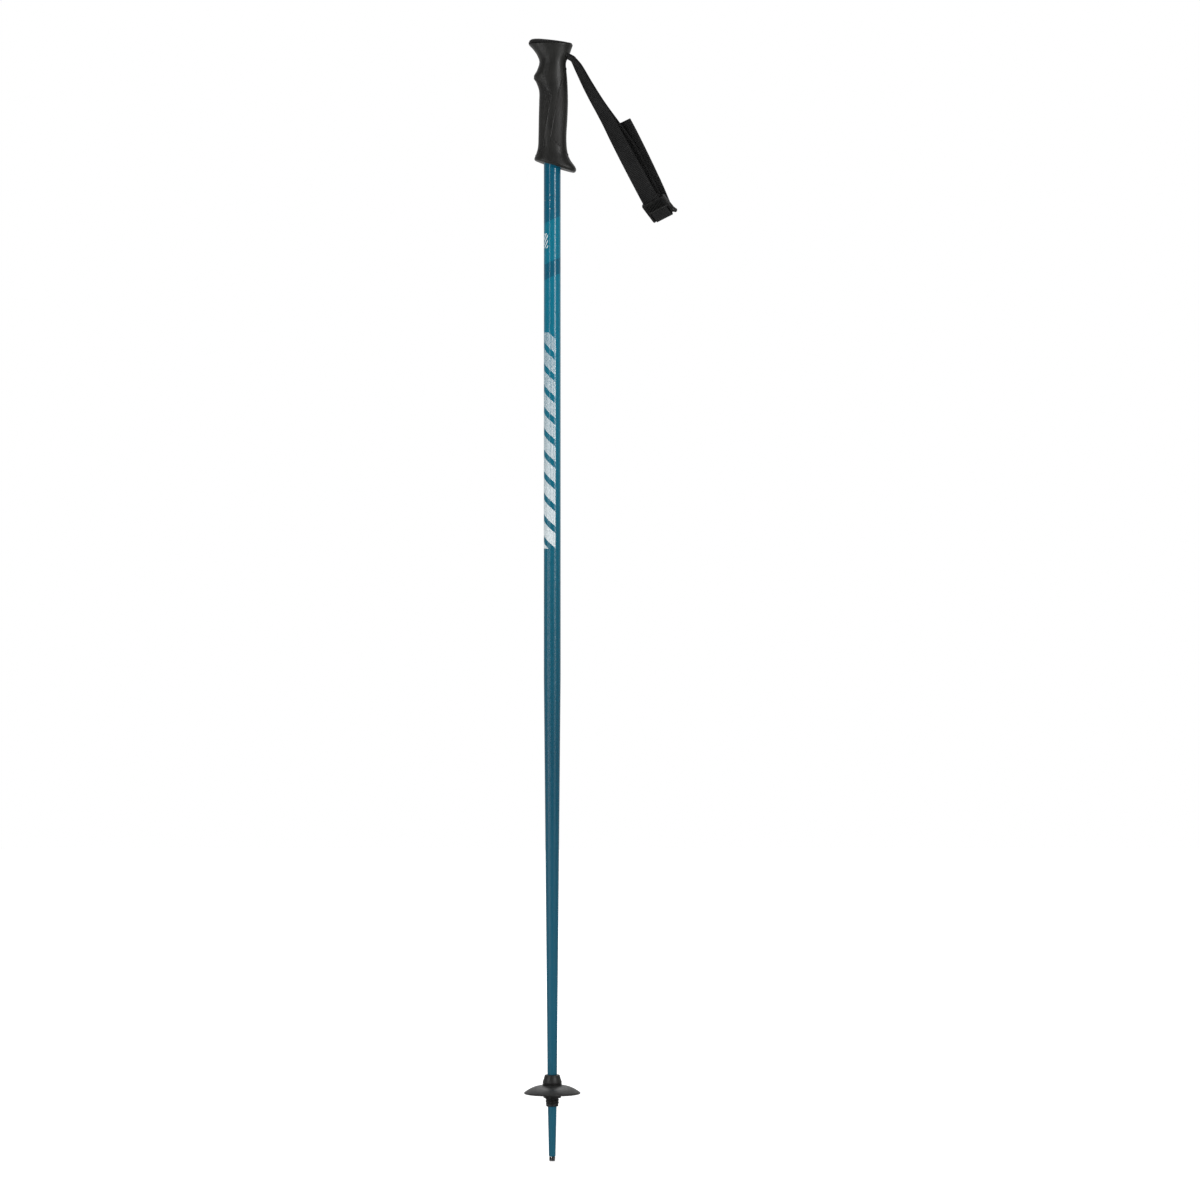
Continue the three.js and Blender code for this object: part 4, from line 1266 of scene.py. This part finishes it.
def slotted_pad():
    """The thumb pad: a plate with a rolled upper edge and six slanting sunk slots."""
    half, top = BUCKLE_WIDTH / 2 - 0.0012, BUCKLE_LENGTH / 2
    low = top - PAD_LENGTH
    columns, rows = 170, 92
    x, y = np.meshgrid(np.linspace(-half, half, columns), np.linspace(low, top, rows))
    middle_y = (low + top) / 2
    turn = math.radians(26)
    across = (y - middle_y) * math.cos(turn) - x * math.sin(turn)
    pitch, slot_half, sink = 0.0024, 0.00052, 0.0010
    area_half_x, area_half_y, roll_radius = 0.0095, 0.0034, 0.0008
    nearest = across - pitch * np.clip(np.floor(across / pitch) + 0.5, -2.5, 2.5)
    area = np.maximum(np.abs(x) - area_half_x, np.abs(y - middle_y) - area_half_y)
    depth = sink * smooth_step(0.0001, -0.0001, np.abs(nearest) - slot_half)
    depth *= smooth_step(0.0002, -0.0001, area)
    edge = np.minimum(top - y, y - low)
    roll = roll_radius * (1 - np.sqrt(1 - np.clip(1 - edge / roll_radius, 0, 1) ** 2))
    thumb_ridge = 0.0003 * smooth_step(0.0006, 0.0010, y - low) * smooth_step(0.0022, 0.0016, y - low)
    front = points_at(x, y, BUCKLE_FRONT - 0.0003 - depth - roll + thumb_ridge)
    return plate(front, points_at(x, y, BUCKLE_FRONT - BUCKLE_PAD_DEPTH + 0.3 * roll))


def buckle():
    """Two rails joined by the slotted pad and the lower and upper bars."""
    half = BUCKLE_WIDTH / 2
    lower = (LOWER_BAR[0] + 0.0008, LOWER_BAR[1])
    parts = [
        rail(-half),
        rail(half - RAIL_WIDTH),
        flange(),
        slotted_pad(),
        bar(lower, 0.0013, BAR_HALF),
        bar(UPPER_BAR, BAR_HALF, BAR_HALF),
    ]
    points, faces = join(*parts)
    placed = [BUCKLE @ Vector(p) for p in points]
    piece = mesh_object("ladder_buckle", placed, faces, [buckle_plastic], 40)
    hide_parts("buckle")
    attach(piece, "buckle")


# ---- The object ----

shaft()
tip()
sleeve()
basket()
washer()
grip_core()
grip_pad("front_pad", "grip_front_pad", FRONT_PAD_EDGE, math.pi, front_ribs)
grip_pad("rear_pad", "grip_rear_pad", REAR_PAD_EDGE, 0.0, rear_ribs)
grip_cap()
buckle()
strap_loop()
strap_end()
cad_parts["strap_pin"].data.materials.clear()
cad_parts["strap_pin"].data.materials.append(pin_steel)

# ---- Floor and light ----


def floor():
    """A level floor under the pole's tip."""
    reach = 6.0
    corners = [(-reach, -reach), (reach, -reach), (reach, reach), (-reach, reach)]
    points = [(x, y, TIP_END - 0.0004) for x, y in corners]
    piece = mesh_object("floor", points, [(0, 1, 2, 3)], [floor_finish()])
    piece.visible_glossy = False


def softbox(name, azimuth, elevation, distance_out, size, power):
    """An area light that faces the pole's middle; azimuth 0 is the camera's side."""
    data = bpy.data.lights.new(name, "AREA")
    data.shape = "RECTANGLE"
    data.size, data.size_y = size
    data.energy = power
    light = bpy.data.objects.new(name, data)
    light.visible_camera = False
    a, e = math.radians(azimuth), math.radians(elevation)
    out = Vector((math.sin(a) * math.cos(e), -math.cos(a) * math.cos(e), math.sin(e)))
    light.location = Vector((0, 0, middle.z)) + out * distance_out
    light.rotation_mode = "QUATERNION"
    light.rotation_quaternion = (-out).to_track_quat("-Z", "Y")
    bpy.context.scene.collection.objects.link(light)


floor()
softbox("left_strip", -35, 2, 2.6, (0.30, 2.6), 18)
softbox("right_strip", 40, 14, 3.2, (0.55, 1.7), 54)
softbox("low_left", -60, -10, 0.9, (0.16, 0.7), 2.6)
softbox("top", -20, 68, 3.0, (1.4, 1.4), 14)
softbox("back_fill", 180, 42, 3.0, (2.0, 1.4), 24)


def studio():
    """A white surround whose own light comes mostly from the backdrop at +Y."""
    world = bpy.data.worlds.new("studio")
    world.use_nodes = True
    nodes, links = world.node_tree.nodes, world.node_tree.links
    direction = nodes.new("ShaderNodeSeparateXYZ")
    links.new(nodes.new("ShaderNodeTexCoord").outputs["Generated"], direction.inputs[0])
    backdrop = ranged(world.node_tree, direction.outputs["Y"], (-0.3, 0.8), (0.03, 0.7))
    strength = nodes.new("ShaderNodeMath")
    strength.operation = "MAXIMUM"
    links.new(backdrop, strength.inputs[0])
    links.new(nodes.new("ShaderNodeLightPath").outputs["Is Camera Ray"], strength.inputs[1])
    links.new(strength.outputs[0], nodes["Background"].inputs["Strength"])
    nodes["Background"].inputs["Color"].default_value = (1, 1, 1, 1)
    bpy.context.scene.world = world


studio()
bpy.context.scene.view_settings.view_transform = "Standard"
